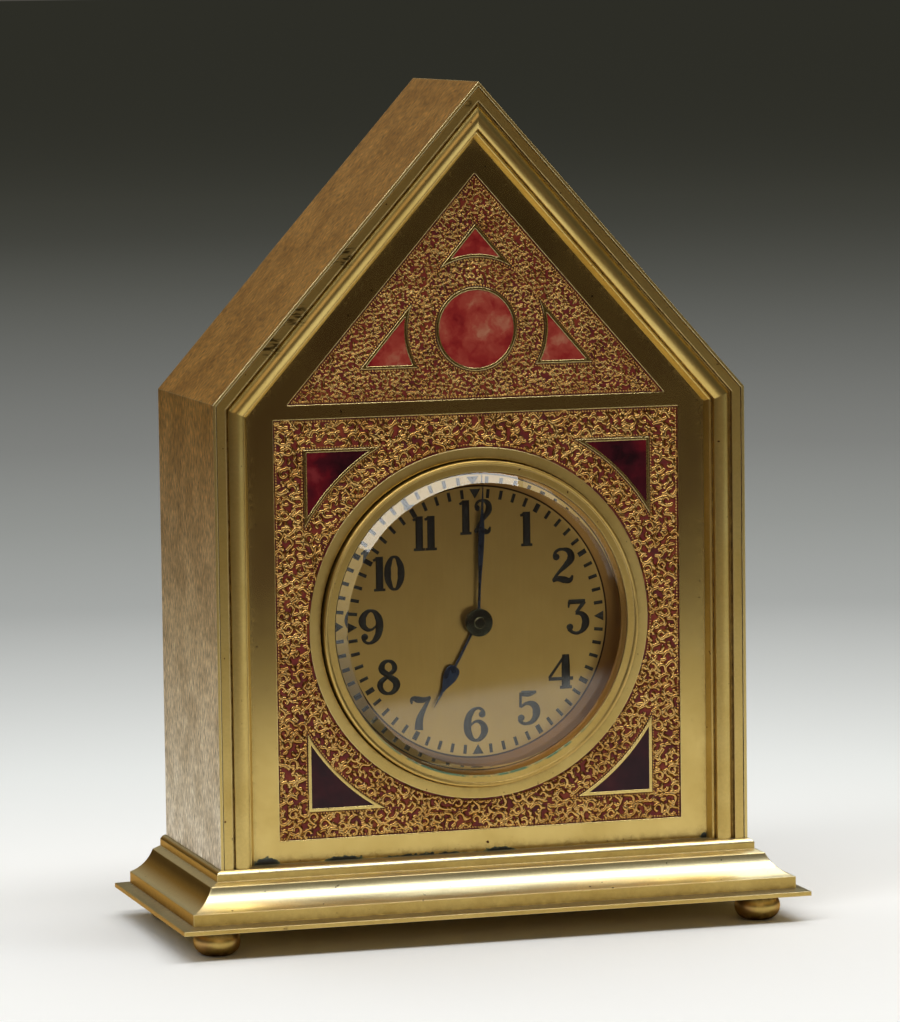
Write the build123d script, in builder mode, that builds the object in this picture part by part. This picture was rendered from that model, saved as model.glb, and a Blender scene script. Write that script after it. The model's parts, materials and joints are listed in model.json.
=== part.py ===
from build123d import *
import math
import os

os.makedirs("parts", exist_ok=True)

# Steeple desk clock: gilt sheet case on a moulded base, etched and enamelled front, small drum movement.
# Frame: millimetres, X to the right and Z up as the dial is read, Y from front to back,
# Z = 0 on the table, X = 0 on the ridge and Y = 0 midway along the base plate.

# Clearances
running_clearance = 0.05
seat_clearance = 0.1
moving_clearance = 0.35
cut_margin = 1.0

# Case outline
case_width = 90.0
case_depth = 37.7
shoulder_rise = 75.2
gable_rise = 50.8
sheet_thickness = 0.5

# Base, plate and feet
foot_height = 4.5
foot_radius = 3.8
foot_inset = 7.0
rear_foot_inset = 7.8
stud_radius = 1.2
stud_length = 3.6
plate_thickness = 1.1
plate_edge = 0.7
plate_slope = 1.9
plate_side_overhang = 8.2
plate_back_overhang = 3.7
fascia_overhang = 6.2
fascia_height = 1.9
cove_height = 3.6
cove_top_overhang = 2.25
cove_fullness = 1.7
step_height = 0.55
lip_overhang = 0.9
lip_height = 1.75
lip_face = 1.1
lip_crown = 0.1
base_back_overhang = 0.8
base_wall = 1.4
base_web = 1.6

# Front frame moulding, measured inwards from the sheet and back from the rim
frame_depth = 2.84
rim_setback = 0.1
rim_width = 1.5
groove_width = 0.45
groove_depth = 1.0
round_width = 2.5
round_edge_depth = 0.5
round_crest_depth = 0.05
fillet_depth = 1.8
fillet_width = 0.6
fillet_rise = 0.3
toe_width = 0.55

# Front panel, its etched fields and its enamel
panel_thickness = 1.8
dial_height = 37.7
ring_width = 1.8
field_depth = 0.35
ground_thickness = 0.15
square_half_width = 34.4
square_top = 34.4
square_bottom = 34.0
field_spacing = 2.4
gable_field_half_width = 32.0
gable_field_rise = 36.6
cell_wall = 0.5
cell_depth = 0.45
enamel_lip = 0.06
spandrel_half_width = 28.9
spandrel_half_height = 29.0
spandrel_setback = 5.5
roundel_rise = 11.35
roundel_radius = 6.35
corner_cell_lift = 5.85
corner_cell_half_width = 18.65
corner_cell_rise = 21.8
corner_cell_arc_radius = 12.2

# Bezel, glass and dial
bezel_gap = 0.3
bezel_wall = 0.95
bezel_lip = 0.85
bezel_bead_width = 0.6
bezel_crest_depth = 1.2
bezel_shoulder_depth = 1.75
bezel_band_depth = 1.5
glass_seat_depth = 2.0
glass_edge_rise = 0.45
glass_bevel_width = 1.6
glass_bevel_rise = 1.45
glass_edge = 0.75
dial_thickness = 0.5
dial_foot_radius = 0.7
dial_foot_inset = 4.2
dial_foot_count = 3
dial_foot_start = 30.0

# Drum that holds the movement
can_wall = 0.6
can_gap = 0.8
flange_width = 5.6
flange_thickness = 0.8
flange_screw_count = 3
flange_screw_start = 90.0
flange_screw_inset = 1.45
screw_shank_radius = 0.7
screw_head_radius = 1.3
screw_head_height = 0.8
screw_slot_width = 0.3
screw_slot_depth = 0.35
screw_bite = 1.1

# Movement frame
movement_plate_thickness = 1.2
movement_plate_margin = 0.75
back_space = 2.6
pillar_radius = 1.5
pillar_pin_radius = 0.8
pillar_pin_length = 0.9
pillar_inset = 2.2
pillar_angles = [75.0, 165.0, 290.0, 350.0]

# Going train: tooth counts, modules and the direction from each arbor to the next
barrel_teeth = 72
centre_pinion_teeth = 12
barrel_module = 0.30
barrel_angle = 235.0
centre_teeth = 64
third_pinion_teeth = 8
centre_module = 0.26
third_angle = 0.0
third_teeth = 60
fourth_pinion_teeth = 8
third_module = 0.24
fourth_angle = 75.0
fourth_teeth = 64
escape_pinion_teeth = 8
fourth_module = 0.20
escape_angle = 150.0
pivot_radius = 0.4
arbor_radius = 0.55
hub_radius = 1.2
wheel_rim = 0.9
spoke_width = 0.8
spoke_pairs = 2
pinion_overlap = 0.35

# Tooth form, in modules or as shares of the tooth pitch
tooth_root = 1.25
tooth_tip = 0.85
tooth_taper = 0.35
wheel_share = 0.44
leaf_share = 0.34

# Tiers of the train behind the front movement plate
tier_gap = 0.4
end_gap = 0.65
wheel_thickness = 0.6
barrel_lift = 0.8
barrel_flange = 1.2
barrel_height = 7.2
barrel_wall = 0.6
barrel_cover = 0.6
fourth_wheel_lift = 3.0

# Mainspring, winding work and click
mainspring_thickness = 0.35
mainspring_pitch = 0.9
mainspring_half_turns = 14
barrel_core_radius = 2.4
arbor_pivot_radius = 1.2
winding_square = 1.5
ratchet_radius = 4.8
ratchet_teeth = 24
ratchet_tooth_depth = 0.6
ratchet_thickness = 0.9
click_angle = 200.0
click_reach = 3.4
click_eye_radius = 1.1
click_post_radius = 0.6
click_nose_lead = 6.0
click_spring_radius = 0.5
click_spring_width = 0.25
click_spring_length = 3.0
click_spring_angle = 280.0
key_boss_radius = 2.0
key_boss_length = 3.4
key_wing_root = 1.1
key_wing_reach = 6.6
key_wing_height = 5.2
key_wing_thickness = 1.1
key_wing_hole = 1.3
set_knob_radius = 4.0
set_knob_length = 3.2
set_knob_cap = 1.0
set_knob_flutes = 24
set_knob_flute_radius = 0.3

# Escapement and balance
escape_teeth = 15
escape_radius = 4.5
escape_tooth_depth = 1.3
escape_rim = 0.5
escape_tip_start = 0.25
escape_tip_end = 0.33
escape_foot_end = 0.5
pallet_angle = 140.0
pallet_span = 62.0
pallet_swing = 4.0
pallet_pin_radius = 0.25
lever_thickness = 0.5
lever_width = 0.6
balance_angle = 190.0
balance_gap = 1.4
balance_radius = 7.0
balance_rim = 0.9
balance_rim_height = 1.4
balance_staff_radius = 0.5
balance_pivot_radius = 0.2
balance_pivot_length = 0.6
roller_radius = 1.1
pivot_screw_radius = 1.0
pivot_screw_reach = 1.1
hairspring_height = 0.6
hairspring_thickness = 0.12
hairspring_pitch = 0.55
hairspring_half_turns = 10
hairspring_stud_radius = 0.3
collet_radius = 0.8
regulator_bearing = 118.0
regulator_reach = 7.6
regulator_thickness = 0.5
regulator_ring = 1.0
regulator_width = 0.9
regulator_pin_radius = 0.5
regulator_pin_proud = 1.2
regulator_swing = 25.0

# Motion work and hands
cannon_teeth = 12
minute_wheel_teeth = 36
minute_pinion_teeth = 10
hour_wheel_teeth = 40
cannon_module = 0.25
minute_wheel_angle = 300.0
minute_post_radius = 0.6
cannon_bore = 0.6
cannon_tube_radius = 0.95
hour_tube_radius = 1.55
hand_thickness = 0.3
hand_clearance = 1.0
hand_lift = 0.4
hand_gap = 0.3
hand_eye_radius = 2.1
hand_stem_half_width = 0.2
drop_draw = 0.08
hour_hand_length = 15.8
hour_drop_half_width = 1.22
hour_drop_shoulder = 12.0
hour_drop_start = 8.1
hour_drop_widest = 9.4
hour_drop_end = 13.0
hour_hand_bearing = 208.8
minute_hand_length = 22.9
minute_drop_half_width = 0.5
minute_drop_shoulder = 0.03
minute_drop_start = 6.0
minute_drop_widest = 14.2
minute_drop_end = 18.2
minute_hand_bearing = 2.7
boss_radius = 2.3
boss_length = 0.6
boss_round = 0.3
boss_button_radius = 0.9
boss_button_length = 0.25

# Back plate, door and case fixings
back_plate_thickness = 1.2
back_opening_radius = 22.0
door_lap = 2.0
door_thickness = 1.0
door_rim_width = 1.2
door_rim_relief = 0.3
hinge_radius = 1.1
hinge_pin_radius = 0.5
hinge_reach = 1.6
knuckle_length = 6.0
knuckle_gap = 0.15
leaf_width = 4.4
leaf_thickness = 0.8
knob_radius = 1.8
knob_neck_radius = 1.0
knob_neck_length = 0.8
knob_head_length = 1.5
knob_round = 0.45
knob_inset = 4.5
lug_size = 5.0
lug_low = 10.0
lug_high = 68.0
bracket_thickness = 0.9
bracket_leg = 8.0
bracket_length = 20.0
bracket_screw_spacing = 12.0

# Derived places
plate_front_overhang = plate_side_overhang
plate_depth = plate_front_overhang + case_depth + plate_back_overhang
plate_width = case_width + 2 * plate_side_overhang
front_y = plate_front_overhang - plate_depth / 2
back_y = front_y + case_depth
plate_top = foot_height + plate_thickness
base_height = fascia_height + cove_height + step_height + lip_height
base_top = plate_top + base_height
dial_z = base_top + dial_height
half_width = case_width / 2
roof_slope = math.atan2(gable_rise, half_width)


def polar(radius, angle):
    return (radius * math.cos(math.radians(angle)), radius * math.sin(math.radians(angle)))


def from_place(place, distance, angle):
    step = polar(distance, angle)
    return (place[0] + step[0], place[1] + step[1])


def mesh_distance(module, teeth, leaves):
    return module * (teeth + leaves) / 2


# Turn of a gear that puts one of its gaps where a tooth of its neighbour crosses the line of centres
def meshed_phase(phase, angle, teeth, follower_teeth):
    return angle + 180 - (phase - angle) * teeth / follower_teeth + 180 / follower_teeth


# Arbors, as places beside the dial axis
centre_place = (0.0, 0.0)
barrel_distance = mesh_distance(barrel_module, barrel_teeth, centre_pinion_teeth)
barrel_place = from_place(centre_place, barrel_distance, barrel_angle)
third_distance = mesh_distance(centre_module, centre_teeth, third_pinion_teeth)
third_place = from_place(centre_place, third_distance, third_angle)
fourth_distance = mesh_distance(third_module, third_teeth, fourth_pinion_teeth)
fourth_place = from_place(third_place, fourth_distance, fourth_angle)
escape_distance = mesh_distance(fourth_module, fourth_teeth, escape_pinion_teeth)
escape_place = from_place(fourth_place, escape_distance, escape_angle)
pallet_room = escape_radius + moving_clearance + pallet_pin_radius
pallet_distance = pallet_room / math.sin(math.radians(pallet_span - pallet_swing))
pallet_place = from_place(escape_place, pallet_distance, pallet_angle)
balance_distance = balance_radius + pivot_radius + balance_gap
balance_place = from_place(pallet_place, balance_distance, balance_angle)
motion_distance = mesh_distance(cannon_module, cannon_teeth, minute_wheel_teeth)
hour_module = 2 * motion_distance / (minute_pinion_teeth + hour_wheel_teeth)
minute_wheel_place = from_place(centre_place, motion_distance, minute_wheel_angle)
arbor_places = [third_place, fourth_place, escape_place, pallet_place]

# Radii that grow outwards from the movement: plates, drum, bezel, aperture and ring
barrel_tip_radius = barrel_module * (barrel_teeth / 2 + tooth_tip)
movement_plate_radius = barrel_distance + barrel_tip_radius + movement_plate_margin
pillar_circle = movement_plate_radius - pillar_inset
pillar_places = [polar(pillar_circle, angle) for angle in pillar_angles]
can_bore = movement_plate_radius + can_gap
can_radius = can_bore + can_wall
dial_radius = can_bore - seat_clearance
dial_foot_circle = can_bore - dial_foot_inset
glass_radius = can_radius - seat_clearance
bezel_lip_radius = can_radius - bezel_lip
bezel_radius = can_radius + bezel_wall
aperture_radius = bezel_radius + bezel_gap
ring_radius = aperture_radius + ring_width
spandrel_arc_radius = ring_radius + spandrel_setback
flange_radius = can_radius + flange_width
flange_screw_circle = flange_radius - flange_screw_inset

# Depths behind the rim: glass, hands, dial, motion work, movement and drum
glass_back_depth = glass_seat_depth + glass_edge
boss_front = glass_back_depth + hand_clearance + boss_button_length
minute_hand_depth = boss_front + boss_length
hour_hand_depth = minute_hand_depth + hand_thickness + hand_gap
dial_depth = hour_hand_depth + hand_thickness + hand_lift
dial_back_depth = dial_depth + dial_thickness
hour_wheel_front = dial_back_depth + end_gap
hour_wheel_back = hour_wheel_front + wheel_thickness
minute_wheel_front = hour_wheel_back + pinion_overlap + tier_gap
minute_wheel_back = minute_wheel_front + wheel_thickness
front_plate_depth = minute_wheel_back + end_gap
train_depth = front_plate_depth + movement_plate_thickness
barrel_front = train_depth + barrel_lift
barrel_back = barrel_front + barrel_height
fourth_wheel_front = train_depth + fourth_wheel_lift
escape_front = fourth_wheel_front + wheel_thickness + pinion_overlap + tier_gap
escape_back = escape_front + lever_thickness
lever_front = escape_back + tier_gap
lever_back = lever_front + lever_thickness
third_wheel_front = lever_back + tier_gap
balance_front = lever_back + tier_gap
balance_back = balance_front + balance_rim_height
hairspring_front = balance_back + tier_gap
hairspring_back = hairspring_front + hairspring_height
centre_wheel_front = barrel_back + tier_gap
back_plate_depth = centre_wheel_front + wheel_thickness + pinion_overlap + end_gap
works_back_depth = back_plate_depth + movement_plate_thickness
can_back_depth = works_back_depth + back_space
can_end_depth = can_back_depth + can_wall
panel_back_depth = frame_depth + panel_thickness
flange_back_depth = panel_back_depth + flange_thickness
door_radius = back_opening_radius + door_lap
gable_field_base = dial_height + square_top + field_spacing
roundel_height = gable_field_base + roundel_rise
corner_cell_base = gable_field_base + corner_cell_lift


# Plane facing the front at a depth behind the rim, centred on the dial axis or on a place beside it
def face_plane(depth, place=(0.0, 0.0)):
    origin = (place[0], front_y + depth, dial_z + place[1])
    return Plane(origin=origin, x_dir=(1, 0, 0), z_dir=(0, -1, 0))


# Plane of a hand: its own Y axis runs along the hand, which points clockwise from twelve by its bearing
def hand_plane(depth, bearing):
    turn = math.radians(bearing)
    return Plane(
        origin=(0, front_y + depth, dial_z),
        x_dir=(math.cos(turn), 0, -math.sin(turn)),
        z_dir=(0, -1, 0),
    )


# Half plane of a piece turned about the dial axis: X is the radius and Y the depth behind the rim
turning_plane = Plane(origin=(0, front_y, dial_z), x_dir=(1, 0, 0), z_dir=(0, 0, 1))
turning_axis = Axis((0, front_y, dial_z), (0, 1, 0))


# Round stock between two depths, added to or cut from the part being built
def disc(front, back, radius, place=(0.0, 0.0), mode=Mode.ADD):
    with BuildSketch(face_plane(back, place)) as round_face:
        Circle(radius)
    extrude(round_face.sketch, amount=back - front, mode=mode)


# Round holes of one size between two depths, cut from the part being built
def bore(front, back, radius, *places):
    with BuildSketch(face_plane(back)) as holes:
        with Locations(*places):
            Circle(radius)
    extrude(holes.sketch, amount=back - front, mode=Mode.SUBTRACT)


# Toothed stock between two depths: radial flanks up to the pitch circle, then tips that taper
def toothed(front, back, teeth, module, share, place=(0.0, 0.0), phase=0.0):
    pitch_radius = module * teeth / 2
    root_radius = pitch_radius - tooth_root * module
    tip_radius = pitch_radius + tooth_tip * module
    flank = share * 180 / teeth
    tip = tooth_taper * flank
    outline = []
    for tooth in range(teeth):
        middle = phase + tooth * 360 / teeth
        outline.append(polar(root_radius, middle - flank))
        outline.append(polar(pitch_radius, middle - flank))
        outline.append(polar(tip_radius, middle - tip))
        outline.append(polar(tip_radius, middle + tip))
        outline.append(polar(pitch_radius, middle + flank))
        outline.append(polar(root_radius, middle + flank))
    with BuildSketch(face_plane(back, place)) as gear_face:
        with BuildLine():
            Polyline(*outline, close=True)
        make_face()
    extrude(gear_face.sketch, amount=back - front)


# Crossings of a wheel: the windows that leave a rim, a hub and the spokes
def cross_out(front, back, hub, rim_inner, place):
    with BuildSketch(face_plane(back, place)) as windows:
        Circle(rim_inner)
        Circle(hub, mode=Mode.SUBTRACT)
        with PolarLocations(0, spoke_pairs, angular_range=180):
            Rectangle(2 * rim_inner + cut_margin, spoke_width, mode=Mode.SUBTRACT)
    extrude(windows.sketch, amount=back - front, mode=Mode.SUBTRACT)


# Spiral strip of half circles, laid flat between two depths and centred on a place
def spiral(front, back, first_radius, pitch, half_turns, thickness, place):
    shift = pitch / 4
    with BuildSketch(face_plane(back, place)) as strip:
        with BuildLine():
            for side in (thickness / 2, -thickness / 2):
                for turn in range(half_turns):
                    sign = 1 if turn % 2 == 0 else -1
                    radius = first_radius + turn * pitch / 2 + side
                    start = 0 if sign == 1 else 180
                    CenterArc((-sign * shift, 0), radius, start, 180)
            inner = first_radius - shift
            Line((inner - thickness / 2, 0), (inner + thickness / 2, 0))
            last_sign = 1 if (half_turns - 1) % 2 == 0 else -1
            last_radius = first_radius + (half_turns - 1) * pitch / 2
            outer = -last_sign * (shift + last_radius)
            Line((outer - thickness / 2, 0), (outer + thickness / 2, 0))
        make_face()
    extrude(strip.sketch, amount=back - front)


# Slotted screw entered from behind: its head stands on one depth and its shank reaches to another
def slotted_screw(seat, tip, place):
    head_back = seat + screw_head_height
    disc(seat, head_back, screw_head_radius, place)
    disc(tip, seat, screw_shank_radius, place)
    with BuildSketch(face_plane(head_back, place)) as slot:
        Rectangle(2 * screw_head_radius + cut_margin, screw_slot_width)
    extrude(slot.sketch, amount=screw_slot_depth, mode=Mode.SUBTRACT)


def save(builder, name):
    builder.part.label = name
    export_step(builder.part, f"parts/{name}.step")


# Steeple outline inside the sheet by an inset, from the base top up
def steeple_points(inset):
    side = half_width - inset
    shoulder = base_top + shoulder_rise - inset * math.tan(math.pi / 4 - roof_slope / 2)
    ridge = base_top + shoulder_rise + gable_rise - inset / math.cos(roof_slope)
    return [(-side, base_top), (-side, shoulder), (0, ridge), (side, shoulder), (side, base_top)]


def upright_plane(depth):
    return Plane(origin=(0, front_y + depth, 0), x_dir=(1, 0, 0), z_dir=(0, -1, 0))


# Case shell: one sheet folded over the sides and the two roof slopes
with BuildPart() as case_shell:
    with BuildSketch(upright_plane(case_depth)):
        with BuildLine():
            Polyline(*steeple_points(0), close=True)
        make_face()
        with BuildLine():
            Polyline(*steeple_points(sheet_thickness), close=True)
        make_face(mode=Mode.SUBTRACT)
    extrude(amount=case_depth)
save(case_shell, "case_shell")

# Front frame: moulding mitred up the sides and over the gable
frame_inset = sheet_thickness + seat_clearance
rim_end = frame_inset + rim_width
round_start = rim_end + groove_width
round_end = round_start + round_width
fillet_end = round_end + fillet_width
toe_end = fillet_end + toe_width
with BuildPart() as front_frame:
    path_points = steeple_points(frame_inset)
    with BuildLine(upright_plane(0)) as frame_path:
        Polyline(*path_points)
    foot_of_path = (path_points[0][0], front_y, base_top)
    with BuildSketch(Plane(origin=foot_of_path, x_dir=(1, 0, 0), z_dir=(0, 0, 1))):
        with BuildLine():
            Polyline(
                (0, frame_depth),
                (0, rim_setback),
                (rim_end - frame_inset, rim_setback),
                (rim_end - frame_inset, groove_depth),
                (round_start - frame_inset, groove_depth),
                (round_start - frame_inset, round_edge_depth),
            )
            ThreePointArc(
                (round_start - frame_inset, round_edge_depth),
                ((round_start + round_end) / 2 - frame_inset, round_crest_depth),
                (round_end - frame_inset, round_edge_depth),
            )
            Line(
                (round_end - frame_inset, round_edge_depth),
                (round_end - frame_inset, fillet_depth),
            )
            ThreePointArc(
                (round_end - frame_inset, fillet_depth),
                ((round_end + fillet_end) / 2 - frame_inset, fillet_depth - fillet_rise),
                (fillet_end - frame_inset, fillet_depth),
            )
            Polyline(
                (fillet_end - frame_inset, fillet_depth),
                (toe_end - frame_inset, frame_depth),
                (0, frame_depth),
            )
        make_face()
    sweep(path=frame_path.line, transition=Transition.RIGHT)
save(front_frame, "front_frame")


def gable_triangle(base, half_base, rise):
    return [(-half_base, base), (half_base, base), (0, base + rise)]


# Both etched fields, drawn about the foot of the panel
def field_outline(plane):
    with BuildSketch(plane) as fields:
        with BuildLine():
            Polyline(
                *gable_triangle(gable_field_base, gable_field_half_width, gable_field_rise), close=True
            )
        make_face()
        square_height = square_top + square_bottom
        with Locations((0, dial_height + (square_top - square_bottom) / 2)):
            Rectangle(2 * square_half_width, square_height)
        with Locations((0, dial_height)):
            Circle(ring_radius, mode=Mode.SUBTRACT)
    return fields.sketch


# Corner cells left round the dial by the square, grown by a wall where asked
def spandrel_cells(plane, wall=0.0):
    with BuildSketch(plane) as cells:
        with Locations((0, dial_height)):
            Rectangle(2 * (spandrel_half_width + wall), 2 * (spandrel_half_height + wall))
            Circle(spandrel_arc_radius - wall, mode=Mode.SUBTRACT)
    return cells.sketch


# Corner cells left round the roundel by a small gable, grown by a wall where asked
def gable_cells(plane, wall=0.0):
    lean = math.atan2(corner_cell_rise, corner_cell_half_width)
    base = corner_cell_base - wall
    half_base = corner_cell_half_width + wall / math.tan(lean / 2)
    rise = half_base * math.tan(lean)
    with BuildSketch(plane) as cells:
        with BuildLine():
            Polyline(*gable_triangle(base, half_base, rise), close=True)
        make_face()
        with Locations((0, roundel_height)):
            Circle(corner_cell_arc_radius - wall, mode=Mode.SUBTRACT)
    return cells.sketch


def roundel_cell(plane, wall=0.0):
    with BuildSketch(plane) as cell:
        with Locations((0, roundel_height)):
            Circle(roundel_radius + wall)
    return cell.sketch


def panel_plane(depth):
    return Plane(origin=(0, front_y + depth, base_top), x_dir=(1, 0, 0), z_dir=(0, -1, 0))


# Etched floor of both fields: what is left of them round the walls of the enamel cells
field_floor_plane = panel_plane(frame_depth + field_depth)
field_floor = field_outline(field_floor_plane)
field_floor = field_floor - spandrel_cells(field_floor_plane, cell_wall)
field_floor = field_floor - gable_cells(field_floor_plane, cell_wall)
field_floor = field_floor - roundel_cell(field_floor_plane, cell_wall)
cell_floor_plane = panel_plane(frame_depth + cell_depth)

# Front panel: flat plate behind the frame, etched back in two fields and sunk for the enamel
panel_points = steeple_points(sheet_thickness + seat_clearance)
with BuildPart() as front_panel:
    with BuildSketch(upright_plane(panel_back_depth)):
        with BuildLine():
            Polyline(*panel_points, close=True)
        make_face()
    extrude(amount=panel_thickness)
    extrude(field_floor, amount=field_depth, mode=Mode.SUBTRACT)
    extrude(spandrel_cells(cell_floor_plane), amount=cell_depth, mode=Mode.SUBTRACT)
    extrude(gable_cells(cell_floor_plane), amount=cell_depth, mode=Mode.SUBTRACT)
    extrude(roundel_cell(cell_floor_plane), amount=cell_depth, mode=Mode.SUBTRACT)
    disc(frame_depth, panel_back_depth, aperture_radius, mode=Mode.SUBTRACT)
    with BuildSketch(face_plane(panel_back_depth)):
        with PolarLocations(flange_screw_circle, flange_screw_count, start_angle=flange_screw_start):
            Circle(screw_shank_radius + running_clearance)
    extrude(amount=screw_bite, mode=Mode.SUBTRACT)
save(front_panel, "front_panel")

# Enamel: thin ground over the etched floor, and the fillings of the three kinds of cell
with BuildPart() as enamel_ground:
    extrude(field_floor, amount=ground_thickness)
save(enamel_ground, "enamel_ground")

enamel_thickness = cell_depth - enamel_lip
with BuildPart() as enamel_roundel:
    extrude(roundel_cell(cell_floor_plane), amount=enamel_thickness)
save(enamel_roundel, "enamel_roundel")

with BuildPart() as enamel_gable_corners:
    extrude(gable_cells(cell_floor_plane), amount=enamel_thickness)
save(enamel_gable_corners, "enamel_gable_corners")

with BuildPart() as enamel_spandrels:
    extrude(spandrel_cells(cell_floor_plane), amount=enamel_thickness)
save(enamel_spandrels, "enamel_spandrels")


# Base moulding outline from its foot to the top lip, for one edge at a distance from the middle
def base_edge(edge, sign):
    cove_foot = plate_top + fascia_height
    cove_top = cove_foot + cove_height
    lip_foot = cove_top + step_height
    lip_brow = lip_foot + lip_face
    fascia = sign * (edge + fascia_overhang)
    cove = sign * (edge + cove_top_overhang)
    lip = sign * (edge + lip_overhang)
    Line((fascia, plate_top), (fascia, cove_foot))
    RadiusArc((fascia, cove_foot), (cove, cove_top), sign * cove_fullness * cove_height)
    Polyline((cove, cove_top), (lip, lip_foot), (lip, lip_brow))
    ThreePointArc(
        (lip, lip_brow),
        (sign * (edge + lip_overhang / 2 + lip_crown), (lip_brow + base_top) / 2 + lip_crown),
        (sign * edge, base_top),
    )


front_edge = -front_y
back_edge = back_y + base_back_overhang
feet_places = [
    (side * (plate_width / 2 - inset), end * (plate_depth / 2 - inset))
    for end, inset in ((-1, foot_inset), (1, rear_foot_inset))
    for side in (-1, 1)
]
web_underside = base_top - base_web
bracket_middle = half_width - sheet_thickness - seat_clearance - bracket_leg / 2
bracket_screw_places = [
    (side * bracket_middle, along * bracket_screw_spacing / 2) for side in (-1, 1) for along in (-1, 1)
]

# Base moulding: mitred by crossing the side profile with the front one, and hollow below
with BuildPart() as base_moulding:
    with BuildSketch(Plane(origin=(0, back_edge, 0), x_dir=(1, 0, 0), z_dir=(0, -1, 0))):
        with BuildLine():
            base_edge(half_width, 1)
            Line((half_width, base_top), (-half_width, base_top))
            base_edge(half_width, -1)
            Line(
                (half_width + fascia_overhang, plate_top),
                (-half_width - fascia_overhang, plate_top),
            )
        make_face()
    extrude(amount=back_edge + front_edge + fascia_overhang)
    with BuildSketch(Plane(origin=(-plate_width / 2, 0, 0), x_dir=(0, -1, 0), z_dir=(-1, 0, 0))):
        with BuildLine():
            base_edge(front_edge, 1)
            Polyline(
                (front_edge, base_top),
                (-back_edge, base_top),
                (-back_edge, plate_top),
                (front_edge + fascia_overhang, plate_top),
            )
        make_face()
    extrude(amount=-plate_width, mode=Mode.INTERSECT)
    cavity_front = front_edge - base_wall
    cavity_back = back_edge - base_wall
    with BuildSketch(Plane.XY.offset(plate_top)):
        with Locations((0, (cavity_back - cavity_front) / 2)):
            Rectangle(2 * (half_width - base_wall), cavity_back + cavity_front)
    extrude(amount=web_underside - plate_top, mode=Mode.SUBTRACT)
    with BuildSketch(Plane.XY.offset(plate_top)):
        with Locations(*feet_places):
            Circle(stud_radius + running_clearance)
    extrude(amount=stud_length - plate_thickness + seat_clearance, mode=Mode.SUBTRACT)
    with BuildSketch(Plane.XY.offset(web_underside)):
        with Locations(*bracket_screw_places):
            Circle(screw_shank_radius + running_clearance)
    extrude(amount=base_web, mode=Mode.SUBTRACT)
save(base_moulding, "base_moulding")

# Base plate: an upright edge, then a shallow slope up to the foot of the moulding
with BuildPart() as base_plate:
    with BuildSketch(Plane.XY.offset(foot_height)):
        Rectangle(plate_width, plate_depth)
    extrude(amount=plate_edge)
    with BuildSketch(Plane.XY.offset(foot_height + plate_edge)):
        Rectangle(plate_width, plate_depth)
    with BuildSketch(Plane.XY.offset(plate_top)):
        Rectangle(plate_width - 2 * plate_slope, plate_depth - 2 * plate_slope)
    loft()
    with BuildSketch(Plane.XY.offset(foot_height)):
        with Locations(*feet_places):
            Circle(stud_radius + running_clearance)
    extrude(amount=plate_thickness, mode=Mode.SUBTRACT)
save(base_plate, "base_plate")

# Bun feet, each with the stud that draws the plate up against the base
foot_flat = foot_radius - foot_height / 2
with BuildPart() as feet:
    for foot_place in feet_places:
        foot_frame = Plane(origin=(foot_place[0], foot_place[1], 0), x_dir=(1, 0, 0), z_dir=(0, -1, 0))
        with BuildSketch(foot_frame):
            with BuildLine():
                Line((0, 0), (foot_flat, 0))
                ThreePointArc((foot_flat, 0), (foot_radius, foot_height / 2), (foot_flat, foot_height))
                Polyline(
                    (foot_flat, foot_height),
                    (stud_radius, foot_height),
                    (stud_radius, foot_height + stud_length),
                    (0, foot_height + stud_length),
                    (0, 0),
                )
            make_face()
        revolve(axis=Axis((foot_place[0], foot_place[1], 0), (0, 0, 1)))
save(feet, "feet")

# Angle brackets inside the case sides and the screws that come up through the base
with BuildPart() as case_brackets:
    for side in (-1, 1):
        inner = side * (half_width - sheet_thickness)
        with BuildSketch(Plane(origin=(0, bracket_length / 2, 0), x_dir=(1, 0, 0), z_dir=(0, -1, 0))):
            with BuildLine():
                Polyline(
                    (inner, base_top),
                    (inner, base_top + bracket_leg),
                    (inner - side * bracket_thickness, base_top + bracket_leg),
                    (inner - side * bracket_thickness, base_top + bracket_thickness),
                    (inner - side * bracket_leg, base_top + bracket_thickness),
                    (inner - side * bracket_leg, base_top),
                    close=True,
                )
            make_face()
        extrude(amount=bracket_length)
    with BuildSketch(Plane.XY.offset(base_top)):
        with Locations(*bracket_screw_places):
            Circle(screw_shank_radius + running_clearance)
    extrude(amount=bracket_thickness, mode=Mode.SUBTRACT)
save(case_brackets, "case_brackets")

with BuildPart() as bracket_screws:
    with BuildSketch(Plane.XY.offset(web_underside - screw_head_height)):
        with Locations(*bracket_screw_places):
            Circle(screw_head_radius)
    extrude(amount=screw_head_height)
    with BuildSketch(Plane.XY.offset(web_underside)):
        with Locations(*bracket_screw_places):
            Circle(screw_shank_radius)
    extrude(amount=base_web + bracket_thickness)
    with BuildSketch(Plane.XY.offset(web_underside - screw_head_height)):
        with Locations(*bracket_screw_places):
            Rectangle(2 * screw_head_radius + cut_margin, screw_slot_width)
    extrude(amount=screw_slot_depth, mode=Mode.SUBTRACT)
save(bracket_screws, "bracket_screws")

# Back plate, flush with the edge of the sheet, on four lugs
back_plate_front = case_depth - back_plate_thickness
lug_x = half_width - sheet_thickness - lug_size / 2
lug_places = [(side * lug_x, rise - dial_height) for side in (-1, 1) for rise in (lug_low, lug_high)]
with BuildPart() as back_plate:
    with BuildSketch(upright_plane(case_depth)):
        with BuildLine():
            Polyline(*panel_points, close=True)
        make_face()
    extrude(amount=back_plate_thickness)
    disc(back_plate_front, case_depth, back_opening_radius, mode=Mode.SUBTRACT)
    bore(back_plate_front, case_depth, screw_shank_radius + running_clearance, *lug_places)
save(back_plate, "back_plate")

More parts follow.
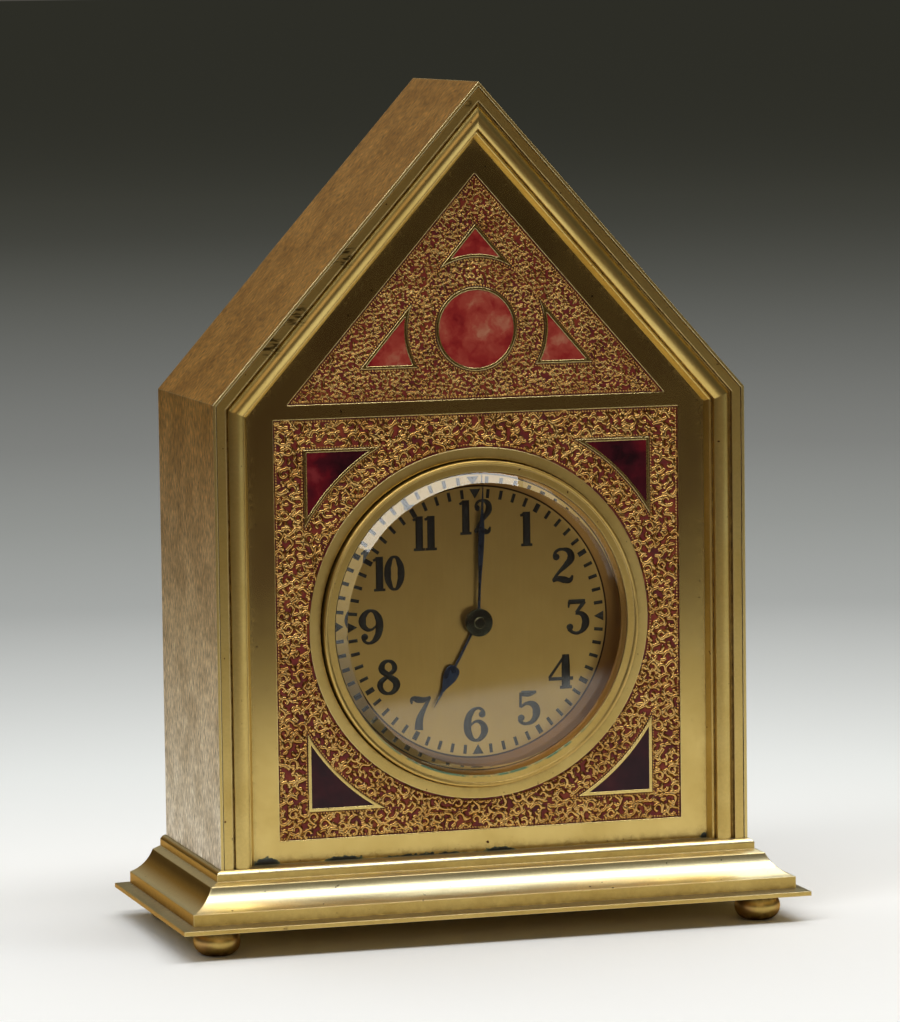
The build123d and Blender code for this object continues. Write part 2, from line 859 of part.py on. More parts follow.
with BuildPart() as back_lugs:
    with BuildSketch(face_plane(back_plate_front)):
        with Locations(*lug_places):
            Rectangle(lug_size, lug_size)
            Circle(screw_shank_radius + running_clearance, mode=Mode.SUBTRACT)
    extrude(amount=lug_size)
save(back_lugs, "back_lugs")

with BuildPart() as back_plate_screws:
    for lug_place in lug_places:
        slotted_screw(case_depth, back_plate_front - screw_bite, lug_place)
save(back_plate_screws, "back_plate_screws")

# Round door in the back: its hinge line is upright beside it
hinge_x = -(door_radius + hinge_reach)
door_face = case_depth + running_clearance
door_back = door_face + door_thickness
hinge_depth = case_depth + moving_clearance + hinge_radius


def knuckle_plane(low):
    return Plane(origin=(hinge_x, front_y + hinge_depth, dial_z + low), x_dir=(1, 0, 0), z_dir=(0, 0, 1))


with BuildPart() as back_door:
    disc(door_face, door_back, door_radius)
    disc(door_back - door_rim_relief, door_back, door_radius - door_rim_width, mode=Mode.SUBTRACT)
    with BuildSketch(face_plane(door_back)):
        with Locations((hinge_x / 2, 0)):
            Rectangle(-hinge_x, knuckle_length)
        Circle(door_radius - door_rim_width, mode=Mode.SUBTRACT)
    extrude(amount=door_thickness)
    with BuildSketch(knuckle_plane(-knuckle_length / 2)):
        Circle(hinge_radius)
    extrude(amount=knuckle_length)
    with BuildSketch(knuckle_plane(-knuckle_length / 2)):
        Circle(hinge_pin_radius + running_clearance)
    extrude(amount=knuckle_length, mode=Mode.SUBTRACT)
    bore(door_face, door_back, knob_neck_radius, (door_radius - knob_inset, 0))
save(back_door, "back_door")

# Fixed hinge leaf with the two outer knuckles
with BuildPart() as hinge_leaf:
    low_ends = [knuckle_length / 2 + knuckle_gap, -3 * knuckle_length / 2 - knuckle_gap]
    with BuildSketch(face_plane(case_depth + leaf_thickness)):
        with Locations((hinge_x - moving_clearance - hinge_radius - leaf_width / 2, 0)):
            Rectangle(leaf_width, 3 * knuckle_length + 2 * knuckle_gap)
        for low in low_ends:
            with Locations((hinge_x - leaf_width / 2, low + knuckle_length / 2)):
                Rectangle(leaf_width, knuckle_length)
    extrude(amount=leaf_thickness)
    for low in low_ends:
        with BuildSketch(knuckle_plane(low)):
            Circle(hinge_radius)
        extrude(amount=knuckle_length)
    for low in low_ends:
        with BuildSketch(knuckle_plane(low)):
            Circle(hinge_pin_radius + running_clearance)
        extrude(amount=knuckle_length, mode=Mode.SUBTRACT)
save(hinge_leaf, "hinge_leaf")

with BuildPart() as hinge_pin:
    pin_length = 3 * knuckle_length + 2 * knuckle_gap
    with BuildSketch(knuckle_plane(-pin_length / 2)):
        Circle(hinge_pin_radius)
    extrude(amount=pin_length)
save(hinge_pin, "hinge_pin")

with BuildPart() as door_knob:
    knob_place = (door_radius - knob_inset, 0)
    knob_head_front = door_back + knob_neck_length
    disc(door_face, knob_head_front, knob_neck_radius, knob_place)
    disc(knob_head_front, knob_head_front + knob_head_length, knob_radius, knob_place)
    fillet(door_knob.edges().filter_by(GeomType.CIRCLE).group_by(Axis.Y)[-1], radius=knob_round)
save(door_knob, "door_knob")

# Bezel: ring with a bead round a flat band, that clips over the drum and holds the glass against its lip
bead_start = bezel_radius - bezel_bead_width
with BuildPart() as bezel:
    with BuildSketch(turning_plane):
        with BuildLine():
            Polyline(
                (bezel_lip_radius, glass_seat_depth),
                (bezel_lip_radius, bezel_band_depth),
                (bead_start, bezel_band_depth),
            )
            ThreePointArc(
                (bead_start, bezel_band_depth),
                (bezel_radius - bezel_bead_width / 2, bezel_crest_depth),
                (bezel_radius, bezel_shoulder_depth),
            )
            Polyline(
                (bezel_radius, bezel_shoulder_depth),
                (bezel_radius, panel_back_depth - seat_clearance),
                (can_radius + running_clearance, panel_back_depth - seat_clearance),
                (can_radius + running_clearance, glass_seat_depth),
                (bezel_lip_radius, glass_seat_depth),
            )
        make_face()
    revolve(axis=turning_axis)
save(bezel, "bezel")

# Glass: flat disc with a wide bevel round its front
glass_edge_radius = bezel_lip_radius - seat_clearance
bevel_foot_depth = glass_seat_depth - glass_edge_rise
glass_front_depth = bevel_foot_depth - glass_bevel_rise
with BuildPart() as glass:
    with BuildSketch(turning_plane):
        with BuildLine():
            Polyline(
                (0, glass_front_depth),
                (glass_edge_radius - glass_bevel_width, glass_front_depth),
                (glass_edge_radius, bevel_foot_depth),
                (glass_edge_radius, glass_seat_depth),
                (glass_radius, glass_seat_depth),
                (glass_radius, glass_back_depth),
                (0, glass_back_depth),
                close=True,
            )
        make_face()
    revolve(axis=turning_axis)
save(glass, "glass")

# Drum: cup with a flange that screws to the back of the panel
key_hole_radius = key_boss_radius + moving_clearance
arc_slot_radius = regulator_pin_radius + moving_clearance
with BuildPart() as movement_can:
    disc(glass_back_depth, can_end_depth, can_radius)
    disc(panel_back_depth, flange_back_depth, flange_radius)
    disc(glass_back_depth, can_back_depth, can_bore, mode=Mode.SUBTRACT)
    bore(can_back_depth, can_end_depth, key_hole_radius, barrel_place)
    bore(can_back_depth, can_end_depth, arbor_radius + moving_clearance, centre_place)
    bore(can_back_depth, can_end_depth, screw_shank_radius + running_clearance, *pillar_places)
    with BuildSketch(face_plane(can_end_depth, balance_place)):
        with BuildLine() as slot_line:
            slot_sweep = 2 * regulator_swing
            CenterArc((0, 0), regulator_reach, regulator_bearing - regulator_swing, slot_sweep)
        SlotArc(slot_line.edge(), 2 * arc_slot_radius)
    extrude(amount=can_wall, mode=Mode.SUBTRACT)
    with BuildSketch(face_plane(flange_back_depth)):
        with PolarLocations(flange_screw_circle, flange_screw_count, start_angle=flange_screw_start):
            Circle(screw_shank_radius + running_clearance)
    extrude(amount=flange_thickness, mode=Mode.SUBTRACT)
save(movement_can, "movement_can")

with BuildPart() as flange_screws:
    for screw_index in range(flange_screw_count):
        screw_turn = flange_screw_start + screw_index * 360 / flange_screw_count
        screw_place = polar(flange_screw_circle, screw_turn)
        slotted_screw(flange_back_depth, panel_back_depth - screw_bite, screw_place)
save(flange_screws, "flange_screws")

# Dial with its feet, which enter the front movement plate
with BuildPart() as dial:
    disc(dial_depth, dial_back_depth, dial_radius)
    disc(dial_depth, dial_back_depth, hour_tube_radius + moving_clearance, mode=Mode.SUBTRACT)
    with BuildSketch(face_plane(train_depth)):
        with PolarLocations(dial_foot_circle, dial_foot_count, start_angle=dial_foot_start):
            Circle(dial_foot_radius)
    extrude(amount=train_depth - dial_back_depth)
save(dial, "dial")

# Movement plates with the holes for every pivot
with BuildPart() as movement_front_plate:
    disc(front_plate_depth, train_depth, movement_plate_radius)
    disc(hour_wheel_front, front_plate_depth, minute_post_radius, minute_wheel_place)
    bore(front_plate_depth, train_depth, pivot_radius + running_clearance, *arbor_places)
    bore(front_plate_depth, train_depth, arbor_radius + running_clearance, centre_place)
    bore(front_plate_depth, train_depth, arbor_pivot_radius + running_clearance, barrel_place)
    bore(front_plate_depth, train_depth, pivot_screw_radius, balance_place)
    bore(front_plate_depth, train_depth, pillar_pin_radius, *pillar_places)
    with BuildSketch(face_plane(train_depth)):
        with PolarLocations(dial_foot_circle, dial_foot_count, start_angle=dial_foot_start):
            Circle(dial_foot_radius + running_clearance)
    extrude(amount=movement_plate_thickness, mode=Mode.SUBTRACT)
save(movement_front_plate, "movement_front_plate")

click_place = from_place(barrel_place, ratchet_radius + click_reach, click_angle)
click_front = works_back_depth + seat_clearance
click_back = click_front + ratchet_thickness
hairspring_start = collet_radius + seat_clearance + hairspring_pitch / 4 + hairspring_thickness / 2
hairspring_end = hairspring_start + (2 * hairspring_half_turns - 1) * hairspring_pitch / 4
stud_reach = hairspring_end + hairspring_thickness / 2 + hairspring_stud_radius + running_clearance
stud_side = 0 if hairspring_half_turns % 2 == 0 else 180
hairspring_stud_place = from_place(balance_place, stud_reach, stud_side)
with BuildPart() as movement_back_plate:
    disc(back_plate_depth, works_back_depth, movement_plate_radius)
    disc(works_back_depth, click_back + seat_clearance, click_post_radius, click_place)
    disc(hairspring_front, back_plate_depth, hairspring_stud_radius, hairspring_stud_place)
    bore(back_plate_depth, works_back_depth, pivot_radius + running_clearance, *arbor_places)
    bore(back_plate_depth, works_back_depth, arbor_radius + running_clearance, centre_place)
    bore(back_plate_depth, works_back_depth, arbor_pivot_radius + running_clearance, barrel_place)
    bore(back_plate_depth, works_back_depth, pivot_screw_radius, balance_place)
    bore(back_plate_depth, works_back_depth, pillar_pin_radius, *pillar_places)
save(movement_back_plate, "movement_back_plate")

# Pillars, the nuts that stand on their back pins and the screws that hold the movement to the drum
with BuildPart() as pillars:
    for pillar_place in pillar_places:
        disc(train_depth, back_plate_depth, pillar_radius, pillar_place)
        disc(front_plate_depth, works_back_depth + pillar_pin_length, pillar_pin_radius, pillar_place)
save(pillars, "pillars")

with BuildPart() as pillar_nuts:
    pin_end = works_back_depth + pillar_pin_length
    with BuildSketch(face_plane(can_back_depth)):
        with Locations(*pillar_places):
            RegularPolygon(pillar_radius, 6)
    extrude(amount=back_space)
    bore(works_back_depth, pin_end, pillar_pin_radius, *pillar_places)
    bore(pin_end, can_back_depth, screw_shank_radius, *pillar_places)
save(pillar_nuts, "pillar_nuts")

with BuildPart() as can_screws:
    for pillar_place in pillar_places:
        slotted_screw(can_end_depth, can_back_depth - screw_bite, pillar_place)
save(can_screws, "can_screws")

# Going barrel with its cover, mainspring and arbor
barrel_drum_radius = barrel_module * (barrel_teeth / 2 - 2 * tooth_root)
barrel_bore = barrel_drum_radius - barrel_wall
with BuildPart() as barrel:
    barrel_flange_back = barrel_front + barrel_flange
    toothed(barrel_front, barrel_flange_back, barrel_teeth, barrel_module, wheel_share, barrel_place)
    disc(barrel_front, barrel_back - barrel_cover, barrel_drum_radius, barrel_place)
    disc(barrel_front + barrel_wall, barrel_back, barrel_bore, barrel_place, Mode.SUBTRACT)
    bore(barrel_front, barrel_back, arbor_pivot_radius + running_clearance, barrel_place)
save(barrel, "barrel")

with BuildPart() as barrel_lid:
    disc(barrel_back - barrel_cover, barrel_back, barrel_drum_radius, barrel_place)
    bore(barrel_back - barrel_cover, barrel_back, arbor_pivot_radius + running_clearance, barrel_place)
save(barrel_lid, "barrel_lid")

core_front = barrel_front + barrel_wall + seat_clearance
core_back = barrel_back - barrel_cover - seat_clearance
mainspring_radius = barrel_core_radius + mainspring_pitch / 4 + mainspring_thickness / 2 + seat_clearance
with BuildPart() as mainspring:
    spiral(
        core_front,
        core_back,
        mainspring_radius,
        mainspring_pitch,
        mainspring_half_turns,
        mainspring_thickness,
        barrel_place,
    )
save(mainspring, "mainspring")

ratchet_front = click_front
ratchet_back = click_back
square_end = can_end_depth + moving_clearance + key_boss_length / 2
with BuildPart() as barrel_arbor:
    disc(front_plate_depth, ratchet_front, arbor_pivot_radius, barrel_place)
    disc(core_front, core_back, barrel_core_radius, barrel_place)
    with BuildSketch(face_plane(square_end, barrel_place)):
        Rectangle(winding_square, winding_square)
    extrude(amount=square_end - ratchet_front)
save(barrel_arbor, "barrel_arbor")

with BuildPart() as ratchet_wheel:
    ratchet_points = []
    for tooth in range(ratchet_teeth):
        start = tooth * 360 / ratchet_teeth
        ratchet_points.append(polar(ratchet_radius - ratchet_tooth_depth, start))
        ratchet_points.append(polar(ratchet_radius, start))
    with BuildSketch(face_plane(ratchet_back, barrel_place)):
        with BuildLine():
            Polyline(*ratchet_points, close=True)
        make_face()
        Rectangle(winding_square, winding_square, mode=Mode.SUBTRACT)
    extrude(amount=ratchet_thickness)
save(ratchet_wheel, "ratchet_wheel")

# Click: its nose waits just clear of the ratchet teeth, pressed by a thin spring
click_line = click_angle + 180
nose_tip = from_place(barrel_place, ratchet_radius + moving_clearance, click_angle + click_nose_lead)
nose_offset = (nose_tip[0] - click_place[0], nose_tip[1] - click_place[1])
with BuildPart() as click:
    with BuildSketch(face_plane(click_back, click_place)):
        Circle(click_eye_radius)
        with BuildLine():
            Polyline(
                polar(click_eye_radius, click_line + 90),
                nose_offset,
                polar(click_eye_radius, click_line - 90),
                close=True,
            )
        make_face()
        Circle(click_post_radius + running_clearance, mode=Mode.SUBTRACT)
    extrude(amount=ratchet_thickness)
save(click, "click")

spring_root = from_place(click_place, click_spring_length, click_spring_angle)
spring_tip = from_place(click_place, click_eye_radius + moving_clearance, click_spring_angle)
with BuildPart() as click_spring:
    disc(works_back_depth, click_back, click_spring_radius, spring_root)
    with BuildSketch(face_plane(click_back)):
        with BuildLine():
            Line(spring_root, spring_tip)
        trace(line_width=click_spring_width)
    extrude(amount=ratchet_thickness)
save(click_spring, "click_spring")

# Winding key: a boss over the arbor's square and a two-winged plate
key_front = can_end_depth + moving_clearance
key_boss_back = key_front + key_boss_length
wing_middles = [(side * key_wing_reach / 2, key_wing_height / 2) for side in (-1, 1)]
with BuildPart() as winding_key:
    disc(key_front, key_boss_back, key_boss_radius, barrel_place)
    with BuildSketch(
        Plane(
            origin=(
                barrel_place[0],
                front_y + key_boss_back - key_wing_root,
                dial_z + barrel_place[1] - key_wing_thickness / 2,
            ),
            x_dir=(1, 0, 0),
            z_dir=(0, 0, 1),
        )
    ):
        with Locations(*wing_middles):
            Ellipse(key_wing_reach / 2, key_wing_height / 2)
        with Locations((0, key_wing_height / 4)):
            Rectangle(2 * key_boss_radius, key_wing_height / 2)
        with Locations(*wing_middles):
            Circle(key_wing_hole, mode=Mode.SUBTRACT)
    extrude(amount=key_wing_thickness)
    with BuildSketch(face_plane(square_end + seat_clearance, barrel_place)):
        Rectangle(winding_square, winding_square)
    extrude(amount=square_end + seat_clearance - key_front, mode=Mode.SUBTRACT)
save(winding_key, "winding_key")

# Centre arbor with its pinion, and the knob on its back end for setting the hands
centre_pinion_phase = meshed_phase(0, barrel_angle + 180, barrel_teeth, centre_pinion_teeth)
centre_front = minute_hand_depth - boss_length / 2
set_knob_front = can_end_depth + moving_clearance
set_knob_back = set_knob_front + set_knob_length
with BuildPart() as centre_arbor:
    toothed(
        barrel_front - pinion_overlap,
        barrel_front + barrel_flange + pinion_overlap,
        centre_pinion_teeth,
        barrel_module,
        leaf_share,
        centre_place,
        centre_pinion_phase,
    )
    disc(centre_front, set_knob_back - set_knob_cap, arbor_radius, centre_place)
save(centre_arbor, "centre_arbor")

with BuildPart() as set_knob:
    disc(set_knob_front, set_knob_back, set_knob_radius, centre_place)
    with BuildSketch(face_plane(set_knob_back, centre_place)):
        with PolarLocations(set_knob_radius, set_knob_flutes):
            Circle(set_knob_flute_radius)
    extrude(amount=set_knob_length, mode=Mode.SUBTRACT)
    bore(set_knob_front, set_knob_back - set_knob_cap, arbor_radius, centre_place)
save(set_knob, "set_knob")


# Wheel with crossings, bored to sit on its arbor
def train_wheel(front, teeth, module, place, phase=0.0):
    back = front + wheel_thickness
    toothed(front, back, teeth, module, wheel_share, place, phase)
    rim_inner = module * (teeth / 2 - tooth_root) - wheel_rim
    cross_out(front, back, hub_radius, rim_inner, place)
    bore(front, back, arbor_radius, place)


# Arbor with pivots in both plates and a pinion beside the wheel that drives it
def train_arbor(driven_front, leaves, module, place, phase):
    disc(train_depth + seat_clearance, back_plate_depth - seat_clearance, arbor_radius, place)
    disc(front_plate_depth, works_back_depth, pivot_radius, place)
    toothed(
        driven_front - pinion_overlap,
        driven_front + wheel_thickness + pinion_overlap,
        leaves,
        module,
        leaf_share,
        place,
        phase,
    )


third_pinion_phase = meshed_phase(0, third_angle, centre_teeth, third_pinion_teeth)
fourth_pinion_phase = meshed_phase(0, fourth_angle, third_teeth, fourth_pinion_teeth)
escape_pinion_phase = meshed_phase(0, escape_angle, fourth_teeth, escape_pinion_teeth)

with BuildPart() as centre_wheel:
    train_wheel(centre_wheel_front, centre_teeth, centre_module, centre_place)
save(centre_wheel, "centre_wheel")

with BuildPart() as third_arbor:
    train_arbor(centre_wheel_front, third_pinion_teeth, centre_module, third_place, third_pinion_phase)
save(third_arbor, "third_arbor")

with BuildPart() as third_wheel:
    train_wheel(third_wheel_front, third_teeth, third_module, third_place)
save(third_wheel, "third_wheel")

with BuildPart() as fourth_arbor:
    train_arbor(third_wheel_front, fourth_pinion_teeth, third_module, fourth_place, fourth_pinion_phase)
save(fourth_arbor, "fourth_arbor")

with BuildPart() as fourth_wheel:
    train_wheel(fourth_wheel_front, fourth_teeth, fourth_module, fourth_place)
save(fourth_wheel, "fourth_wheel")

with BuildPart() as escape_arbor:
    train_arbor(fourth_wheel_front, escape_pinion_teeth, fourth_module, escape_place, escape_pinion_phase)
save(escape_arbor, "escape_arbor")

# Escape wheel with raked teeth
escape_pitch = 360 / escape_teeth
escape_root = escape_radius - escape_tooth_depth
with BuildPart() as escape_wheel:
    escape_points = []
    for tooth in range(escape_teeth):
        start = tooth * escape_pitch
        escape_points.append(polar(escape_root, start))
        escape_points.append(polar(escape_radius, start + escape_tip_start * escape_pitch))
        escape_points.append(polar(escape_radius, start + escape_tip_end * escape_pitch))
        escape_points.append(polar(escape_root, start + escape_foot_end * escape_pitch))
    with BuildSketch(face_plane(escape_back, escape_place)):
        with BuildLine():
            Polyline(*escape_points, close=True)
        make_face()
        Circle(arbor_radius, mode=Mode.SUBTRACT)
    extrude(amount=lever_thickness)
    cross_out(escape_front, escape_back, hub_radius, escape_root - escape_rim, escape_place)
save(escape_wheel, "escape_wheel")

# Pallet lever behind the escape wheel: two arms whose pins stand just outside the teeth, and a bar
# that reaches towards the roller of the balance
towards_escape = pallet_angle + 180
pallet_arm = pallet_distance * math.cos(math.radians(pallet_span))
lever_reach = balance_distance - roller_radius - moving_clearance
with BuildPart() as pallet_lever:
    with BuildSketch(face_plane(lever_back, pallet_place)):
        Circle(hub_radius)
        with BuildLine():
            Line((0, 0), polar(lever_reach, balance_angle))
        trace(line_width=lever_width)
        for side in (-1, 1):
            with BuildLine():
                Line((0, 0), polar(pallet_arm, towards_escape + side * pallet_span))
            trace(line_width=lever_width)
        Circle(pivot_radius, mode=Mode.SUBTRACT)
    extrude(amount=lever_thickness)
    for side in (-1, 1):
        pin_place = from_place(pallet_place, pallet_arm, towards_escape + side * pallet_span)
        disc(escape_front, lever_back, pallet_pin_radius, pin_place)
save(pallet_lever, "pallet_lever")

with BuildPart() as pallet_arbor:
    disc(front_plate_depth, works_back_depth, pivot_radius, pallet_place)
save(pallet_arbor, "pallet_arbor")

# Balance wheel, its staff with roller and collet, and the cup screws that its pivots run in
staff_front = train_depth + pivot_screw_reach + seat_clearance
staff_back = back_plate_depth - pivot_screw_reach - seat_clearance
pivot_front = staff_front - balance_pivot_length
pivot_back = staff_back + balance_pivot_length
regulator_front = works_back_depth + seat_clearance
regulator_back = regulator_front + regulator_thickness
with BuildPart() as balance_wheel:
    disc(balance_front, balance_back, balance_radius, balance_place)
    bore(balance_front, balance_back, balance_radius - balance_rim, balance_place)
    with BuildSketch(face_plane(balance_front + wheel_thickness, balance_place)):
        Circle(hub_radius)
        Rectangle(2 * balance_radius - balance_rim, spoke_width)
        Circle(balance_staff_radius, mode=Mode.SUBTRACT)
    extrude(amount=wheel_thickness)
save(balance_wheel, "balance_wheel")

with BuildPart() as balance_staff:
    disc(staff_front, staff_back, balance_staff_radius, balance_place)
    disc(pivot_front, pivot_back, balance_pivot_radius, balance_place)
    disc(lever_front, lever_back, roller_radius, balance_place)
    disc(hairspring_front, hairspring_back, collet_radius, balance_place)
save(balance_staff, "balance_staff")

with BuildPart() as balance_pivot_screws:
    cup_radius = balance_pivot_radius + running_clearance
    front_cup = train_depth + pivot_screw_reach
    back_cup = back_plate_depth - pivot_screw_reach
    disc(front_plate_depth, front_cup, pivot_screw_radius, balance_place)
    disc(back_cup, regulator_back + seat_clearance, pivot_screw_radius, balance_place)
    bore(pivot_front - seat_clearance, front_cup, cup_radius, balance_place)
    bore(back_cup, pivot_back + seat_clearance, cup_radius, balance_place)
save(balance_pivot_screws, "balance_pivot_screws")

with BuildPart() as hairspring:
    spiral(
        hairspring_front,
        hairspring_back,
        hairspring_start,
        hairspring_pitch,
        hairspring_half_turns,
        hairspring_thickness,
        balance_place,
    )
save(hairspring, "hairspring")

# Regulator: a lever round the balance axis whose pin comes out through the slot in the drum
regulator_pin_place = from_place(balance_place, regulator_reach, regulator_bearing)
with BuildPart() as regulator:
    with BuildSketch(face_plane(regulator_back, balance_place)):
        with BuildLine():
            Line((0, 0), polar(regulator_reach, regulator_bearing))
        trace(line_width=regulator_width)
        Circle(pivot_screw_radius + running_clearance + regulator_ring)
        Circle(pivot_screw_radius + running_clearance, mode=Mode.SUBTRACT)
    extrude(amount=regulator_thickness)
    disc(regulator_front, can_end_depth + regulator_pin_proud, regulator_pin_radius, regulator_pin_place)
save(regulator, "regulator")

# Motion work under the dial: cannon pinion, minute wheel with its pinion, hour wheel with its tube
cannon_front = minute_wheel_front - pinion_overlap
cannon_back = minute_wheel_back + pinion_overlap
minute_pinion_front = hour_wheel_front - pinion_overlap
minute_wheel_phase = meshed_phase(0, minute_wheel_angle, cannon_teeth, minute_wheel_teeth)
hour_wheel_phase = meshed_phase(0, minute_wheel_angle + 180, minute_pinion_teeth, hour_wheel_teeth)
with BuildPart() as cannon_pinion:
    toothed(cannon_front, cannon_back, cannon_teeth, cannon_module, leaf_share)
    disc(minute_hand_depth, cannon_back, cannon_tube_radius)
    disc(minute_hand_depth, cannon_back, cannon_bore, mode=Mode.SUBTRACT)
save(cannon_pinion, "cannon_pinion")

with BuildPart() as minute_wheel:
    toothed(
        minute_wheel_front,
        minute_wheel_back,
        minute_wheel_teeth,
        cannon_module,
        wheel_share,
        minute_wheel_place,
        minute_wheel_phase,
    )
    toothed(
        minute_pinion_front,
        minute_wheel_back,
        minute_pinion_teeth,
        hour_module,
        leaf_share,
        minute_wheel_place,
    )
    post_bore = minute_post_radius + running_clearance
    bore(minute_pinion_front, minute_wheel_back, post_bore, minute_wheel_place)
save(minute_wheel, "minute_wheel")

with BuildPart() as hour_wheel:
    toothed(
        hour_wheel_front,
        hour_wheel_back,
        hour_wheel_teeth,
        hour_module,
        wheel_share,
        centre_place,
        hour_wheel_phase,
    )
    disc(hour_hand_depth, hour_wheel_back, hour_tube_radius)
    disc(hour_hand_depth, hour_wheel_back, cannon_tube_radius + running_clearance, mode=Mode.SUBTRACT)
save(hour_wheel, "hour_wheel")


# Drop hand: eye, thin stem, drop that swells from its shoulder, needle tip
def hand(depth, bearing, length, start, widest, end, half_width, shoulder, bore):
    with BuildSketch(hand_plane(depth + hand_thickness, bearing)) as hand_face:
        with BuildLine():
            Line((0, 0), (hand_stem_half_width, 0))
            Line((hand_stem_half_width, 0), (hand_stem_half_width, start))
            Spline(
                (hand_stem_half_width, start),
                (half_width, widest),
                tangents=((shoulder, 1.0), (0.0, 1.0)),
            )
            Spline(
                (half_width, widest),
                (hand_stem_half_width, end),
                tangents=((0.0, 1.0), (-drop_draw, 1.0)),
            )
            Line((hand_stem_half_width, end), (0, length))
            Line((0, length), (0, 0))
        make_face()
        mirror(about=Plane.YZ)
        Circle(hand_eye_radius)
        Circle(bore, mode=Mode.SUBTRACT)
    extrude(hand_face.sketch, amount=hand_thickness)


with BuildPart() as hour_hand:
    hand(
        hour_hand_depth,
        hour_hand_bearing,
        hour_hand_length,
        hour_drop_start,
        hour_drop_widest,
        hour_drop_end,
        hour_drop_half_width,
        hour_drop_shoulder,
        hour_tube_radius,
    )
save(hour_hand, "hour_hand")

with BuildPart() as minute_hand:
    hand(
        minute_hand_depth,
        minute_hand_bearing,
        minute_hand_length,
        minute_drop_start,
        minute_drop_widest,
        minute_drop_end,
        minute_drop_half_width,
        minute_drop_shoulder,
        cannon_tube_radius,
    )
save(minute_hand, "minute_hand")

# Boss that holds the minute hand down on the centre arbor
with BuildPart() as hand_boss:
    disc(boss_front, minute_hand_depth, boss_radius)
    fillet(hand_boss.edges().group_by(Axis.Y)[0], radius=boss_round)
    disc(boss_front - boss_button_length, boss_front, boss_button_radius)
    bore(centre_front, minute_hand_depth, arbor_radius, centre_place)
save(hand_boss, "hand_boss")
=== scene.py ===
import bpy
import bmesh
import json
import math
import random
from mathutils import Matrix, Vector


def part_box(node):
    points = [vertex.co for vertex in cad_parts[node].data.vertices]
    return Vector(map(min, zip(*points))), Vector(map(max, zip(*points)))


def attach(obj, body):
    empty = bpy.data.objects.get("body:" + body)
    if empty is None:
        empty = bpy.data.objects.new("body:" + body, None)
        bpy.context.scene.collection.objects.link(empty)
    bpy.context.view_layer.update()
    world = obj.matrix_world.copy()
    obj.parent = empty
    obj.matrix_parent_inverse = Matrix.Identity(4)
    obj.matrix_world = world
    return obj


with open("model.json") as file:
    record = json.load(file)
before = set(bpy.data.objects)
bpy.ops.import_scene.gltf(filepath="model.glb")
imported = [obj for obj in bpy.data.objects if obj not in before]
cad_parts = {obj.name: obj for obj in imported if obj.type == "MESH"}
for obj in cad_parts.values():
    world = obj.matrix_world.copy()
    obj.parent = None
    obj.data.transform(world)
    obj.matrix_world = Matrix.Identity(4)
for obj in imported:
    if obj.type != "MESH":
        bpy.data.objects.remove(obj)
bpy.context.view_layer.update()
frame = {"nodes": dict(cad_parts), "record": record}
nodes = frame["nodes"]
scene = bpy.context.scene
scene.view_settings.view_transform = "Standard"
mm = 0.001
dialZ = 51.1  # height of the dial's axis, in mm
print("frame loaded,", len(nodes), "nodes")


def hexColour(code):  # sRGB hex to linear
    parts = [int(code[i:i + 2], 16) / 255 for i in (1, 3, 5)]
    return [c / 12.92 if c <= 0.04045 else ((c + 0.055) / 1.055) ** 2.4 for c in parts] + [1.0]


def addNode(tree, kind, inputs=None, stops=None, **settings):
    node = tree.nodes.new("ShaderNode" + kind)
    for key, value in settings.items():
        setattr(node, key, value)
    for key, value in (inputs or {}).items():
        if isinstance(value, bpy.types.NodeSocket):
            tree.links.new(value, node.inputs[key])
        else:
            node.inputs[key].default_value = hexColour(value) if isinstance(value, str) else value
    if stops:
        marks = node.color_ramp.elements
        while len(marks) < len(stops):
            marks.new(0.5)
        for mark, (place, colour) in zip(marks, stops):
            mark.position = place
            mark.color = hexColour(colour)
    return node


def emptyFinish(name):
    finish = bpy.data.materials.new(name)
    finish.use_nodes = True
    tree = finish.node_tree
    tree.nodes.clear()
    return finish, tree, addNode(tree, "TexCoord").outputs["Object"]


def startFinish(name):
    finish, tree, place = emptyFinish(name)
    inMm = addNode(tree, "Mapping", {"Vector": place, "Scale": (1 / mm,) * 3}).outputs[0]  # patterns count in mm
    return finish, tree, inMm


def endFinish(tree, inputs):
    shader = addNode(tree, "BsdfPrincipled", inputs)
    addNode(tree, "OutputMaterial", {"Surface": shader.outputs[0]})
    return shader


def dress(finish, *names):
    for name in names:
        for slot in nodes[name].material_slots:
            slot.material = finish


# Camera: where the photograph was taken from
view = {"place": (-0.2478, -0.8345, 0.1565), "yaw": 0.287749, "pitch": 0.10104, "roll": -0.013385, "lens": 186.2}


def placeCamera(v):
    camera = bpy.data.objects.new("camera", bpy.data.cameras.new("camera"))
    scene.collection.objects.link(camera)
    camera.data.lens = v["lens"]
    camera.data.sensor_width = 36
    camera.data.clip_start = 0.01
    camera.data.clip_end = 200
    level = math.cos(v["pitch"])
    ahead = Vector((math.sin(v["yaw"]) * level, math.cos(v["yaw"]) * level, -math.sin(v["pitch"])))
    right = Vector((math.cos(v["yaw"]), -math.sin(v["yaw"]), 0))
    turned = Matrix((right, right.cross(ahead), -ahead)).transposed().to_4x4()
    camera.matrix_world = Matrix.Translation(v["place"]) @ turned @ Matrix.Rotation(v["roll"], 4, "Z")
    scene.camera = camera


placeCamera(view)

